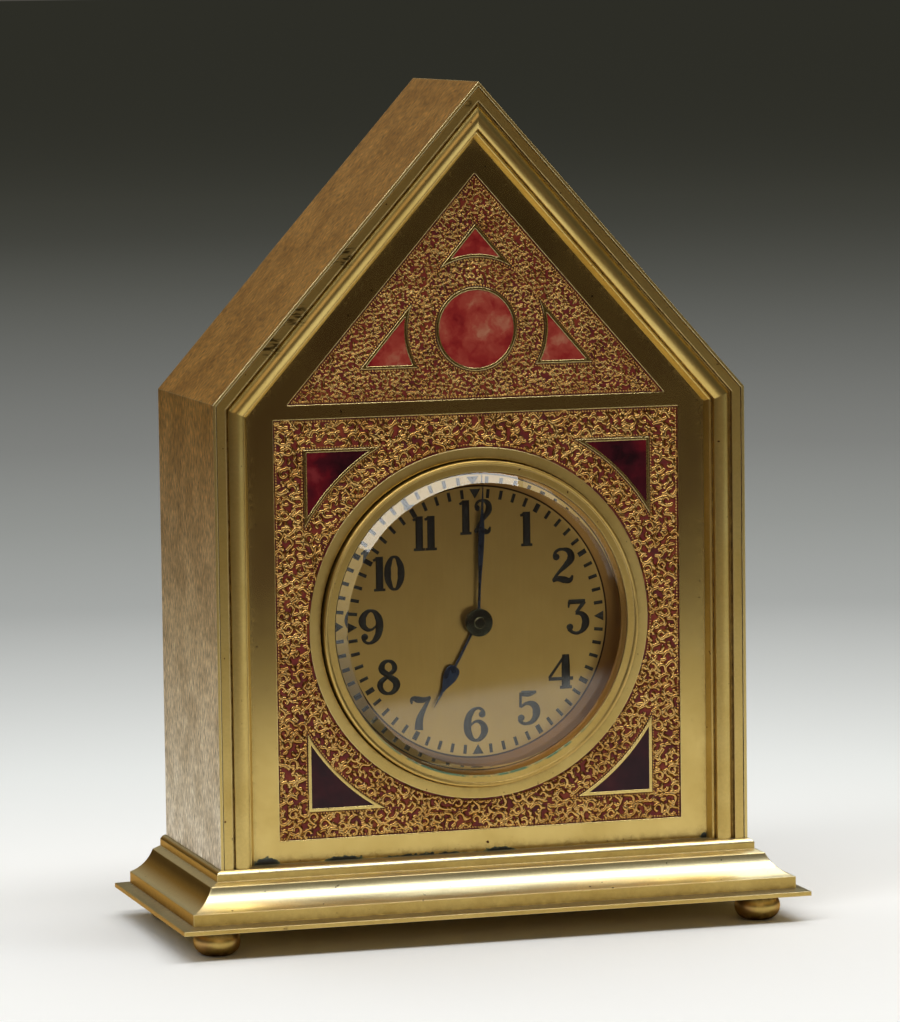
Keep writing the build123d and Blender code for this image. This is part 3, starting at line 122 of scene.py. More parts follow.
# Studio: pale floor with painted light that falls off into grey and turns dark past a line in front,
# two softboxes overhead, weak fills in front, behind and at the right
studio = {
    "floorHalf": 40.0,
    # painted light: floor colour by distance from the clock, standing in for the lamps' falloff
    "paintedFalloff": [
        (0.067, "#F2F3F2"), (0.10, "#E6E9E8"), (0.14, "#CDD0CF"), (0.19, "#ADB0AF"), (0.257, "#A1A4A2"),
        (0.34, "#979997"), (0.47, "#959794"), (0.66, "#979993"), (1.0, "#A4A69D"),
    ],
    "paintedFalloffFrom": (-0.03, -0.12, 0.0),
    "paintedFalloffReach": 3.0,
    "frontEdge": (-0.238, -0.264),
    "frontSlant": 0.55,
    "frontTone": "#44352D",
    "world": "#4B4A44",
    "lamps": {
        "top": {"place": (-0.45, -0.50, 1.30), "aim": (-0.40, -0.22, 0.0), "size": (2.8, 0.36), "watts": 20.0,
                "turn": 0.28},
        "rear": {"place": (0.1, 0.5, 1.40), "aim": (0.0, 0.12, 0.0), "size": (1.7, 1.0), "watts": 10.0},
        "front": {"place": (-0.10, -1.55, 0.50), "aim": (0.0, 0.0, 0.08), "size": (1.2, 0.45), "watts": 1.4,
                  "tint": "#FFE0BE"},
        "right": {"place": (1.0, -0.08, 0.95), "aim": (0.0, 0.0, 0.07), "size": (0.5, 0.62), "watts": 1.5,
                  "tint": "#FFF0D8"},
        "back": {"place": (-0.35, 1.9, 0.75), "aim": (0.0, 0.0, 0.06), "size": (1.0, 0.6), "watts": 0.75},
    },
}


def buildStudio(s):
    mesh = bpy.data.meshes.new("floor")
    shape = bmesh.new()
    bmesh.ops.create_grid(shape, x_segments=1, y_segments=1, size=s["floorHalf"])
    shape.to_mesh(mesh)
    shape.free()
    floor = bpy.data.objects.new("floor", mesh)
    scene.collection.objects.link(floor)
    # matt paper sweep with a painted pool of light: bright near the clock and darker with distance
    paper, tree, spot = emptyFinish("matt paper")
    away = addNode(tree, "VectorMath", {0: spot, 1: s["paintedFalloffFrom"]}, operation="DISTANCE").outputs["Value"]
    share = addNode(tree, "MapRange", {0: away, 1: 0.0, 2: s["paintedFalloffReach"]}).outputs[0]
    paintedFalloff = addNode(tree, "ValToRGB", {0: share}, stops=s["paintedFalloff"])
    across, ahead, _ = addNode(tree, "SeparateXYZ", {0: spot}).outputs
    slanted = addNode(tree, "Math", {0: across, 1: s["frontSlant"], 2: ahead}, operation="MULTIPLY_ADD").outputs[0]
    start, stop = s["frontEdge"]  # where the floor turns dark
    edge = addNode(tree, "MapRange", {0: slanted, 1: start, 2: stop}, interpolation_type="SMOOTHSTEP").outputs[0]
    darkenedFront = addNode(tree, "Mix", {0: edge, 6: paintedFalloff.outputs[0], 7: s["frontTone"]}, data_type="RGBA").outputs[2]
    fleck = addNode(tree, "TexNoise", {"Vector": spot, "Scale": 900, "Detail": 2})
    bump = addNode(tree, "Bump", {"Height": fleck.outputs[0], "Strength": 0.05, "Distance": 0.0003})
    endFinish(tree, {"Base Color": darkenedFront, "Roughness": 0.9, "Specular IOR Level": 0.0, "Normal": bump.outputs[0]})
    mesh.materials.append(paper)

    world = bpy.data.worlds.new("studio")
    world.use_nodes = True
    world.node_tree.nodes["Background"].inputs[0].default_value = hexColour(s["world"])
    scene.world = world
    for name, lamp in s["lamps"].items():
        data = bpy.data.lights.new(name, "AREA")
        data.shape = "RECTANGLE"
        data.size, data.size_y = lamp["size"]
        data.energy = lamp["watts"]
        data.color = hexColour(lamp.get("tint", "#FFFFFF"))[:3]
        light = bpy.data.objects.new(name, data)
        scene.collection.objects.link(light)
        aim = Vector(lamp["aim"]) - Vector(lamp["place"])
        aimed = aim.to_track_quat("-Z", "Y").to_matrix().to_4x4()
        spun = Matrix.Rotation(lamp.get("turn", 0.0), 4, "Z")
        light.matrix_world = Matrix.Translation(lamp["place"]) @ aimed @ spun


buildStudio(studio)
print("camera and studio set")


# Gilt brass in its several states: clouds of tone, brushing, pits, dirt and painted shade in the corners, and bright
# worn edges
def giltFinish(name, look):
    finish, tree, inMm = startFinish(name)
    clouds = {"Vector": inMm, "Scale": 1 / look["cloud"], "Detail": 4, "Roughness": 0.6}
    cloud = addNode(tree, "TexNoise", clouds).outputs[0]
    tone = addNode(tree, "MapRange", {0: cloud, 1: 0.36, 2: 0.64}).outputs[0]
    along = inMm
    if "slope" in look:  # the rubbing follows the sheet up the wall and over the roof
        side, deep, high = addNode(tree, "SeparateXYZ", {0: inMm}).outputs
        out = addNode(tree, "Math", {0: side}, operation="ABSOLUTE").outputs[0]
        run = addNode(tree, "Math", {0: high, 1: math.tan(look["slope"])}, operation="MULTIPLY").outputs[0]
        climb = addNode(tree, "Math", {0: run, 1: out}, operation="SUBTRACT").outputs[0]
        along = addNode(tree, "CombineXYZ", {0: 0.0, 1: deep, 2: climb}).outputs[0]
    stroke = addNode(tree, "Mapping", {"Vector": along, "Scale": [1 / s for s in look["brush"]]}).outputs[0]
    grain = addNode(tree, "TexNoise", {"Vector": stroke, "Scale": 1.0, "Detail": 3, "Roughness": 0.6}).outputs[0]
    # ambient occlusion darkens the hollows: painted shade, together with dirt and patina where the piece has them
    closed = addNode(tree, "AmbientOcclusion", {"Distance": look["shadeAndDirtReach"] * mm}, samples=6).outputs["AO"]
    rounded = addNode(tree, "Bevel", {"Radius": look["edge"] * mm}, samples=4).outputs[0]
    facing = addNode(tree, "NewGeometry").outputs["Normal"]
    agree = addNode(tree, "VectorMath", {0: rounded, 1: facing}, operation="DOT_PRODUCT").outputs["Value"]
    arris = addNode(tree, "MapRange", {0: agree, 1: 0.995, 2: 0.90}).outputs[0]
    worn = addNode(tree, "Math", {0: arris, 1: closed}, operation="MULTIPLY").outputs[0]
    ragged = addNode(tree, "TexNoise", {"Vector": inMm, "Scale": 0.9, "Detail": 3}).outputs[0]
    hollowShadeAndSoot = addNode(tree, "MapRange", {0: closed, 1: look["shadeAndDirtFrom"], 2: look["shadeAndDirtFull"]}).outputs[0]
    rag = addNode(tree, "MapRange", {0: ragged, 1: 0.30, 2: 0.60, 3: 0.35, 4: 1.0}).outputs[0]
    shadeAndDirt = addNode(tree, "Math", {0: hollowShadeAndSoot, 1: rag}, operation="MULTIPLY").outputs[0]
    speck = addNode(tree, "TexNoise", {"Vector": inMm, "Scale": 1 / look["pit"], "Detail": 1}).outputs[0]
    pits = addNode(tree, "MapRange", {0: speck, 1: look["pitFrom"], 2: look["pitFrom"] + 0.05}).outputs[0]
    toned = addNode(tree, "Mix", {0: tone, 6: look["bright"], 7: look["toned"]}, data_type="RGBA").outputs[2]
    across, ahead, upward = addNode(tree, "SeparateXYZ", {0: facing}).outputs
    if "slope" in look:  # lacquer left browner towards the top
        aged = addNode(tree, "MapRange", {0: climb, 1: look["brown"][0], 2: look["brown"][1]}).outputs[0]
        veil = addNode(tree, "ValToRGB", {0: aged}, stops=look["lacquer"]).outputs[0]
        toned = addNode(tree, "Mix", {0: 1.0, 6: toned, 7: veil}, data_type="RGBA", blend_type="MULTIPLY").outputs[2]
    if "paintedTopLight" in look:  # painted highlight, paler where it faces up; painted shade, browner where it faces the sides
        above = addNode(tree, "MapRange", {0: upward, 1: 0.25, 2: 0.6}).outputs[0]
        toned = addNode(tree, "Mix", {0: above, 6: toned, 7: look["paintedTopLight"]}, data_type="RGBA").outputs[2]
        turned = addNode(tree, "Math", {0: across}, operation="ABSOLUTE").outputs[0]
        beside = addNode(tree, "MapRange", {0: turned, 1: 0.35, 2: 0.7}).outputs[0]
        toned = addNode(tree, "Mix", {0: beside, 6: toned, 7: look["sides"]}, data_type="RGBA").outputs[2]
    weakest, strongest = 1 - look["streak"], 1 + look["streak"]
    streak = addNode(tree, "MapRange", {0: grain, 1: 0.3, 2: 0.7, 3: weakest, 4: strongest}).outputs[0]
    brushed = addNode(tree, "VectorMath", {0: toned, "Scale": streak}, operation="SCALE").outputs[0]
    if "slope" in look:  # the edge that faces the front is smooth like the frame
        lip = addNode(tree, "MapRange", {0: ahead, 1: -0.6, 2: -0.9}).outputs[0]
        brushed = addNode(tree, "Mix", {0: lip, 6: brushed, 7: castLook["bright"]}, data_type="RGBA").outputs[2]
    pitted = addNode(tree, "Mix", {0: pits, 6: brushed, 7: look["shadeAndDirt"]}, data_type="RGBA").outputs[2]
    shadedAndDirty = addNode(tree, "Mix", {0: shadeAndDirt, 6: pitted, 7: look["shadeAndDirt"]}, data_type="RGBA").outputs[2]
    colour = addNode(tree, "Mix", {0: worn, 6: shadedAndDirty, 7: look["worn"]}, data_type="RGBA").outputs[2]
    matt = addNode(tree, "MapRange", {0: tone, 3: look["rough"] - 0.015, 4: look["rough"] + 0.02}).outputs[0]
    rough = addNode(tree, "Math", {0: shadeAndDirt, 1: 0.35, 2: matt}, operation="MULTIPLY_ADD").outputs[0]
    sunk = addNode(tree, "Math", {0: pits, 1: -1.2, 2: grain}, operation="MULTIPLY_ADD").outputs[0]
    relief = look["bump"]
    if "slope" in look:
        rough = addNode(tree, "MapRange", {0: lip, 3: rough, 4: castLook["rough"]}).outputs[0]
        relief = addNode(tree, "MapRange", {0: lip, 3: look["bump"], 4: castLook["bump"]}).outputs[0]
    dents = {"Height": sunk, "Strength": relief, "Distance": 0.00005, "Normal": rounded}
    bump = addNode(tree, "Bump", dents).outputs[0]
    shader = endFinish(tree, {"Base Color": colour, "Metallic": 1.0, "Roughness": rough, "Normal": bump})
    return finish, tree, inMm, shader, colour


castLook = {  # fire gilding over cast brass, handled for years: satin, with dark residue and painted shade in the corners
    "bright": "#D6BB72", "toned": "#C8AA60", "shadeAndDirt": "#5A3218", "worn": "#E6D196", "cloud": 11.0,
    "brush": (0.5, 0.5, 0.5), "streak": 0.05, "shadeAndDirtReach": 1.1, "shadeAndDirtFrom": 0.55, "shadeAndDirtFull": 0.1, "edge": 0.25,
    "pit": 0.9, "pitFrom": 0.76, "rough": 0.29, "bump": 0.02,
}
giltCast, castTree, castMm, castShader, castColour = giltFinish("gilt cast brass", castLook)
dress(giltCast, "front_frame")

bezelLook = {**castLook,  # the same gilding, matter where the glass was cleaned, green low down beside the glass
    "bright": "#D0B268", "toned": "#C4A45A", "rough": 0.31, "lip": 1.8,
    "green": "#4C6E52", "greenFrom": 36.0, "greenFull": 30.0}
giltBezel, bezelTree, bezelMm, bezelShader, bezelColour = giltFinish("gilt bezel", bezelLook)
dress(giltBezel, "bezel")

baseLook = {**castLook,  # the same gilding on the base, darker where it meets the plate, with a painted highlight on faces turned up and painted shade on faces turned to the sides
    "bright": "#C8AC64", "toned": "#BA9C54", "shadeAndDirt": "#3F2014", "paintedTopLight": "#ECE2B8", "sides": "#B8925A",
    "shadeAndDirtReach": 2.4, "shadeAndDirtFrom": 0.92, "shadeAndDirtFull": 0.1, "rough": 0.3}
giltBase, _, _, baseShader, _ = giltFinish("gilt base mouldings", baseLook)
baseShader.inputs["Specular Tint"].default_value = hexColour("#E0C8A0")  # stays gold at a low angle
dress(giltBase, "base_moulding", "base_plate", "feet")

# gilt sheet rubbed with grit, grey below and golden brown above; the strokes are drawn twice as wide, to show
sheetLook = {**castLook,
    "bright": "#E6E0D2", "toned": "#C2B8A4", "worn": "#F3E3AE", "brown": (-30, 120), "brush": (0.7, 0.5, 1.6),
    "lacquer": [(0.0, "#FFFFFF"), (0.06, "#FFFEFA"), (0.28, "#FAE3BE"), (0.55, "#FCC368"), (0.60, "#E6B055")],
    "streak": 0.65, "rough": 0.34, "bump": 0.8, "pitFrom": 0.80, "cloud": 6.0, "slope": 0.846}
giltSheet, _, _, sheetShader, _ = giltFinish("rubbed gilt sheet", sheetLook)
sheetShader.inputs["Specular Tint"].default_value = hexColour("#E7D7C5")  # the lacquer keeps it brown at a low angle
dress(giltSheet, "case_shell")

panelLook = {**castLook,  # smooth gilt plate, painted shade where it meets the frame, and green corrosion there
    "bright": "#D2B770", "toned": "#C8AC64", "brush": (0.4, 0.4, 0.9), "streak": 0.02, "rough": 0.18, "bump": 0.002,
    "shadeAndDirtReach": 2.6, "shadeAndDirtFrom": 0.85, "shadeAndDirtFull": 0.2, "shadeAndDirt": "#3F2014", "ring": 28.9, "ringRough": 0.33}
giltPanel, panelTree, panelMm, panelShader, panelColour = giltFinish("satin gilt plate", panelLook)
dress(giltPanel, "front_panel")


def nearestSpot(tree, place, spots, full, **kind):  # 1 at the middle of each spot, 0 past its reach
    most = None
    for x, z, reach, narrow in spots:
        flat = addNode(tree, "VectorMath", {0: place, 1: (narrow, 0.0, 1.0)}, operation="MULTIPLY").outputs[0]
        away = addNode(tree, "VectorMath", {0: flat, 1: (x * narrow, 0.0, z)}, operation="DISTANCE").outputs["Value"]
        part = addNode(tree, "MapRange", {0: away, 1: reach, 2: reach * full}, **kind).outputs[0]
        most = part if most is None else addNode(tree, "Math", {0: most, 1: part}, operation="MAXIMUM").outputs[0]
    return most


def layOver(tree, shader, colour, cover, tone):  # dull matter that lies on the metal
    covered = addNode(tree, "Mix", {0: cover, 6: colour, 7: tone}, data_type="RGBA").outputs[2]
    tree.links.new(covered, shader.inputs["Base Color"])
    bare = addNode(tree, "Math", {0: 1.0, 1: cover}, operation="SUBTRACT").outputs[0]
    tree.links.new(bare, shader.inputs["Metallic"])


def growCrust(tree, inMm, shader, colour, spots, tones):  # ragged crust, thickest in its middle
    push = Vector((2.0, 0.0, 1.4))
    ragged = addNode(tree, "TexNoise", {"Vector": inMm, "Scale": 1.2, "Detail": 5}).outputs["Color"]
    pushed = addNode(tree, "VectorMath", {0: ragged, 1: push, 2: inMm}, operation="MULTIPLY_ADD").outputs[0]
    moved = [(x + push.x / 2, z + push.z / 2, reach, narrow) for x, z, reach, narrow in spots]
    crust = nearestSpot(tree, pushed, moved, 0.55)
    dull = addNode(tree, "ValToRGB", {0: crust}, stops=tones).outputs[0]
    cover = addNode(tree, "MapRange", {0: crust, 1: 0.02, 2: 0.3}).outputs[0]
    layOver(tree, shader, colour, cover, dull)


def fromDialAxis(tree, inMm):
    offset = addNode(tree, "VectorMath", {0: inMm, 1: (0.0, 0.0, dialZ)}, operation="SUBTRACT").outputs[0]
    flat = addNode(tree, "VectorMath", {0: offset, 1: (1.0, 0.0, 1.0)}, operation="MULTIPLY").outputs[0]
    return addNode(tree, "VectorMath", {0: flat}, operation="LENGTH").outputs["Value"]


def mattRing(tree, inMm, shader, look):  # the plain ring round the bezel is matter than the plate
    reach = fromDialAxis(tree, inMm)
    inRing = addNode(tree, "MapRange", {0: reach, 1: look["ring"] + 0.05, 2: look["ring"] - 0.05}).outputs[0]
    rough = shader.inputs["Roughness"].links[0].from_socket
    matt = addNode(tree, "MapRange", {0: inRing, 3: rough, 4: look["ringRough"]}).outputs[0]
    tree.links.new(matt, shader.inputs["Roughness"])


def greenLip(tree, inMm, shader, colour, look):  # verdigris along the lower lip
    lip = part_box("bezel")[1][0] / mm - look["lip"]
    near = addNode(tree, "MapRange", {0: fromDialAxis(tree, inMm), 1: lip + 0.3, 2: lip + 0.1}).outputs[0]
    height = addNode(tree, "SeparateXYZ", {0: inMm}).outputs[2]
    low = addNode(tree, "MapRange", {0: height, 1: look["greenFrom"], 2: look["greenFull"]}).outputs[0]
    patch = addNode(tree, "TexNoise", {"Vector": inMm, "Scale": 0.5, "Detail": 3}).outputs[0]
    grown = addNode(tree, "MapRange", {0: patch, 1: 0.32, 2: 0.46}).outputs[0]
    both = addNode(tree, "Math", {0: near, 1: low}, operation="MULTIPLY").outputs[0]
    cover = addNode(tree, "Math", {0: both, 1: grown}, operation="MULTIPLY").outputs[0]
    layOver(tree, shader, colour, cover, look["green"])


greenLip(bezelTree, bezelMm, bezelShader, bezelColour, bezelLook)
mattRing(panelTree, panelMm, panelShader, panelLook)
verdigris = {  # black-green in the foot of the panel, pale green at its rim: (x, z, reach, narrowing)
    "spots": [(-36.6, 13.5, 1.15, 0.5), (-23.6, 13.4, 0.75, 0.22), (-9.0, 13.2, 0.5, 0.05),
              (3.0, 13.4, 0.6, 0.2), (38.8, 13.7, 0.6, 0.6)],
    "tones": [(0.0, "#7A7A50"), (0.3, "#46523E"), (0.65, "#1A211A"), (1.0, "#0E120E")]}
growCrust(panelTree, panelMm, panelShader, panelColour, **verdigris)
tarnish = {  # scratchy brown stains on the left slope of the rim
    "spots": [(-22.9, 111.9, 2.6, 1.0), (-31.0, 102.6, 2.6, 1.0), (-35.3, 97.7, 2.4, 1.0), (-1.9, 136.2, 1.2, 1.0)],
    "tone": "#3C2C14"}


def smudge(tree, inMm, shader, colour, spots, tone):
    near = nearestSpot(tree, inMm, spots, 0.4, interpolation_type="SMOOTHSTEP")
    turned = {"Vector": inMm, "Rotation": (0.0, 0.4, 0.0), "Scale": (0.5, 1.0, 2.2)}
    strokes = addNode(tree, "Mapping", turned).outputs[0]
    scratch = addNode(tree, "TexNoise", {"Vector": strokes, "Scale": 1.1, "Detail": 4}).outputs[0]
    drawn = addNode(tree, "MapRange", {0: scratch, 1: 0.48, 2: 0.58, 4: 0.85}).outputs[0]
    cover = addNode(tree, "Math", {0: near, 1: drawn}, operation="MULTIPLY").outputs[0]
    stained = addNode(tree, "Mix", {0: cover, 6: colour, 7: tone}, data_type="RGBA").outputs[2]
    tree.links.new(stained, shader.inputs["Base Color"])


smudge(castTree, castMm, castShader, castColour, **tarnish)

scrollLook = {**castLook,  # etched lines left standing, gilt on top, stained red and darkened with painted shade at their feet
    "bright": "#CCA462", "toned": "#AC8045", "shadeAndDirt": "#6A2A1A", "streak": 0.12, "shadeAndDirtReach": 0.4,
    "shadeAndDirtFrom": 0.42, "shadeAndDirtFull": 0.08, "edge": 0.05, "rough": 0.2, "cloud": 4.0}
giltScroll = giltFinish("etched gilt lines", scrollLook)[0]

dialLook = {**castLook,  # silk-finished gilt dial plate
    "bright": "#BC9E5C", "toned": "#B09252", "brush": (0.12, 0.3, 6.0), "streak": 0.04, "cloud": 22.0,
    "shadeAndDirtReach": 0.6, "pitFrom": 0.83, "margin": 22.35, "line": "#2E1C0E", "outside": "#946F3A"}
satinDial, dialTree, dialMm, dialShader, dialColour = giltFinish("satin gilt dial", dialLook)
dress(satinDial, "dial")


def edgeDial(tree, inMm, shader, colour, look):  # the margin outside the minutes, brown beyond a scribed line, its brown made paler as painted light
    reach = fromDialAxis(tree, inMm)
    past = addNode(tree, "MapRange", {0: reach, 1: look["margin"], 2: look["margin"] + 0.05}).outputs[0]
    browned = addNode(tree, "Mix", {0: past, 6: colour, 7: look["outside"]}, data_type="RGBA").outputs[2]
    onLine = addNode(tree, "Math", {0: reach, 1: look["margin"], 2: 0.14}, operation="COMPARE").outputs[0]
    lined = addNode(tree, "Mix", {0: onLine, 6: browned, 7: look["line"]}, data_type="RGBA").outputs[2]
    tree.links.new(lined, shader.inputs["Base Color"])


edgeDial(dialTree, dialMm, dialShader, dialColour, dialLook)

backLook = {**castLook,  # lacquered brass sheet, plain behind
    "bright": "#C8A75E", "toned": "#A7854A", "brush": (4.0, 0.3, 0.25), "streak": 0.12, "rough": 0.35, "bump": 0.2}
lacqueredBrass = giltFinish("lacquered brass sheet", backLook)[0]
dress(lacqueredBrass, "back_plate", "back_door", "door_knob", "hinge_leaf", "movement_can", "back_lugs",
      "case_brackets")

wheelLook = {**castLook,  # grained movement brass
    "bright": "#D6B768", "toned": "#BC9A52", "brush": (0.2, 0.2, 1.5), "streak": 0.10, "rough": 0.28, "bump": 0.15,
    "pitFrom": 0.85, "shadeAndDirtReach": 0.5}
movementBrass = giltFinish("grained movement brass", wheelLook)[0]

keyLook = {**castLook, "bright": "#C09A55", "toned": "#93703A", "rough": 0.33, "cloud": 3.0}  # brass rubbed by fingers
keyBrass = giltFinish("handled brass", keyLook)[0]
dress(keyBrass, "winding_key", "set_knob")

steelLook = {**castLook,  # polished steel
    "bright": "#B4B5B8", "toned": "#8F9194", "shadeAndDirt": "#3A3632", "worn": "#D8DADC", "rough": 0.24,
    "brush": (0.3, 0.3, 1.0), "cloud": 5.0}
polishedSteel = giltFinish("polished steel", steelLook)[0]

bluedLook = {**castLook,  # steel blued by heat, near black with a cold sheen
    "bright": "#38465A", "toned": "#1B2028", "shadeAndDirt": "#0B0B0C", "worn": "#5A687A", "rough": 0.27,
    "cloud": 3.0, "pitFrom": 0.85}
bluedSteel = giltFinish("blued steel", bluedLook)[0]
dress(bluedSteel, "hour_hand", "minute_hand")

bossLook = {**castLook,  # bronzed brass boss, darkened green-black
    "bright": "#3B3F33", "toned": "#24261F", "shadeAndDirt": "#10100D", "worn": "#8B8465", "rough": 0.25, "cloud": 1.5}
bronzedBoss = giltFinish("bronzed boss", bossLook)[0]
dress(bronzedBoss, "hand_boss")

inside = {"movement_brass": movementBrass, "steel": polishedSteel}
for part in frame["record"]["subparts"]:
    if part["material_slot"] in inside:
        dress(inside[part["material_slot"]], part["node"])
print("metals made")


# Enamel: glass fused on metal, clouded colour under a clear gloss, with painted shade darkening it into its corners
def enamelFinish(name, look):
    finish, tree, inMm = startFinish(name)
    warp = addNode(tree, "TexNoise", {"Vector": inMm, "Scale": 0.35, "Detail": 3}).outputs["Color"]
    swirl = (look["swirl"],) * 3
    pushed = addNode(tree, "VectorMath", {0: warp, 1: swirl, 2: inMm}, operation="MULTIPLY_ADD").outputs[0]
    clouds = {"Vector": pushed, "Scale": 1 / look["cloud"], "Detail": 4, "Roughness": 0.55}
    cloud = addNode(tree, "TexNoise", clouds).outputs[0]
    if "bloom" in look:  # a paler cloud on one side
        x, z, reach = look["bloom"]
        flat = addNode(tree, "VectorMath", {0: pushed, 1: (1.0, 0.0, 1.0)}, operation="MULTIPLY").outputs[0]
        away = addNode(tree, "VectorMath", {0: flat, 1: (x, 0.0, z)}, operation="DISTANCE").outputs["Value"]
        paler = {0: away, 1: reach, 2: 0.0, 4: 0.16}
        lift = addNode(tree, "MapRange", paler, interpolation_type="SMOOTHSTEP").outputs[0]
        cloud = addNode(tree, "Math", {0: cloud, 1: lift}, operation="ADD").outputs[0]
    colour = addNode(tree, "ValToRGB", {0: cloud}, stops=look["colours"]).outputs[0]
    if "deep" in look:  # darker in the lower cells
        height = addNode(tree, "SeparateXYZ", {0: inMm}).outputs[2]
        high, deep = look["deepFrom"], look["deepFull"]
        low = addNode(tree, "MapRange", {0: height, 1: high, 2: deep, 4: 0.8}).outputs[0]
        colour = addNode(tree, "Mix", {0: low, 6: colour, 7: look["deep"]}, data_type="RGBA").outputs[2]
    # painted shade: the rim colour is mixed in where the enamel runs into its corners
    closed = addNode(tree, "AmbientOcclusion", {"Distance": 0.0006}, samples=6).outputs["AO"]
    rim = addNode(tree, "MapRange", {0: closed, 1: 0.8, 2: 0.3, 4: 0.75}).outputs[0]
    edged = addNode(tree, "Mix", {0: rim, 6: colour, 7: look["rim"]}, data_type="RGBA").outputs[2]
    wave = addNode(tree, "TexNoise", {"Vector": inMm, "Scale": 0.5, "Detail": 2}).outputs[0]
    bump = addNode(tree, "Bump", {"Height": wave, "Strength": 0.15, "Distance": 0.0001}).outputs[0]
    rough = addNode(tree, "MapRange", {0: wave, 3: look["rough"] - 0.04, 4: look["rough"] + 0.08}).outputs[0]
    endFinish(tree, {
        "Base Color": edged, "Roughness": rough, "IOR": 1.52, "Specular IOR Level": look["gloss"], "Normal": bump})
    return finish


roseLook = {  # clouded rose red, milky to one side
    "colours": [(0.32, "#7A171B"), (0.45, "#922A26"), (0.58, "#A44638"), (0.74, "#B67C60")], "rim": "#5E1418",
    "cloud": 5.0, "swirl": 4.0, "rough": 0.22, "gloss": 0.3, "bloom": (4.6, 105.0, 5.6)}
dress(enamelFinish("rose enamel", roseLook), "enamel_roundel", "enamel_gable_corners")
garnetLook = {  # dark garnet, nearly black in the lower cells
    "colours": [(0.30, "#220A0F"), (0.46, "#420F18"), (0.60, "#60121B"), (0.75, "#7A282C")], "rim": "#140810",
    "cloud": 7.0, "swirl": 5.0, "rough": 0.2, "gloss": 0.2, "deep": "#220E14", "deepFrom": 62.0, "deepFull": 40.0}
dress(enamelFinish("garnet enamel", garnetLook), "enamel_spandrels")
maroonLook = {  # brownish maroon, duller than the cells
    "colours": [(0.30, "#4E141A"), (0.5, "#702019"), (0.68, "#86381B"), (0.8, "#965025")], "rim": "#3A120E",
    "cloud": 3.0, "swirl": 2.0, "rough": 0.42, "gloss": 0.3}
dress(enamelFinish("maroon enamel", maroonLook), "enamel_ground")

# Bevelled watch glass: clear, so light is let through it to the dial
glassFinish, glassTree, glassMm = startFinish("bevelled clock glass")
haze = addNode(glassTree, "TexNoise", {"Vector": glassMm, "Scale": 0.4, "Detail": 3}).outputs[0]
smear = addNode(glassTree, "MapRange", {0: haze, 1: 0.3, 2: 0.7, 3: 0.004, 4: 0.012}).outputs[0]
endFinish(glassTree, {"Base Color": "#FBFCFA", "Roughness": smear, "IOR": 1.5, "Transmission Weight": 1.0})
dress(glassFinish, "glass")
nodes["glass"].visible_shadow = False
print("enamel and glass made")


# Lines drawn as curves with a width at each point: (x, z, half width) in mm
def drawLines(name, lines, y, relief, finish, detail, sides):
    curve = bpy.data.curves.new(name, "CURVE")
    curve.dimensions = "3D"
    curve.bevel_depth = mm
    curve.bevel_resolution = sides
    curve.resolution_u = detail
    curve.use_fill_caps = True
    for line, straight, closed in lines:
        spline = curve.splines.new("BEZIER")
        spline.bezier_points.add(len(line) - 1)
        spline.use_cyclic_u = closed
        for point, (x, z, half) in zip(spline.bezier_points, line):
            point.co = (x * mm, 0, z * mm)
            point.radius = half
            point.handle_left_type = point.handle_right_type = "VECTOR" if straight else "AUTO"
    sketch = bpy.data.objects.new(name + "Sketch", curve)
    scene.collection.objects.link(sketch)
    bpy.context.view_layer.update()
    mesh = bpy.data.meshes.new_from_object(sketch.evaluated_get(bpy.context.evaluated_depsgraph_get()))
    bpy.data.objects.remove(sketch)
    flatten = Matrix.Diagonal((1, relief, 1, 1))  # to the height the lines stand
    mesh.transform(Matrix.Translation((0, y, 0)) @ flatten)
    mesh.name = name
    mesh.materials.clear()
    mesh.materials.append(finish)
    mesh.shade_smooth()
    piece = bpy.data.objects.new(name, mesh)
    scene.collection.objects.link(piece)
    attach(piece, "case")
    return piece


# Etched fields: gilt scrolls and bead lines standing on the enamel
field = {
    "ring": 28.855, "half": 34.4, "low": 17.1, "high": 85.5,
    "cellX": 28.9, "cellZ": 29.0, "cellRing": 34.355,
    "gableLow": 87.9, "gableHalf": 32.0, "gableRise": 36.6,
    "roundelZ": 99.25, "roundel": 6.35, "cornerLow": 93.75, "cornerHalf": 18.65, "cornerRise": 21.8, "cornerRing": 12.2,
    "wall": 0.5,
}


def beyondGable(x, z, low, half, rise):
    return max(low - z, (abs(x) * rise + (z - low) * half - half * rise) / math.hypot(half, rise))


def spandrel(x, z):  # under 0 inside a spandrel cell
    up = z - dialZ
    return max(abs(x) - field["cellX"], abs(up) - field["cellZ"], field["cellRing"] - math.hypot(x, up))


def corner(x, z):
    tip = beyondGable(x, z, field["cornerLow"], field["cornerHalf"], field["cornerRise"])
    return max(tip, field["cornerRing"] - math.hypot(x, z - field["roundelZ"]))


def squareRoom(x, z):  # distance to the nearest edge of the square field
    up = z - dialZ
    edges = min(field["half"] - abs(x), z - field["low"], field["high"] - z)
    return min(edges, math.hypot(x, up) - field["ring"], spandrel(x, z) - field["wall"])


def gableRoom(x, z):
    edges = -beyondGable(x, z, field["gableLow"], field["gableHalf"], field["gableRise"])
    roundel = math.hypot(x, z - field["roundelZ"]) - field["roundel"]
    return min(edges, roundel - field["wall"], corner(x, z) - field["wall"])


scrolls = {"seed": 7, "square": (1.75, 0.245), "gable": (1.12, 0.22), "tries": 26000, "edgeGap": 0.6, "relief": 0.36}


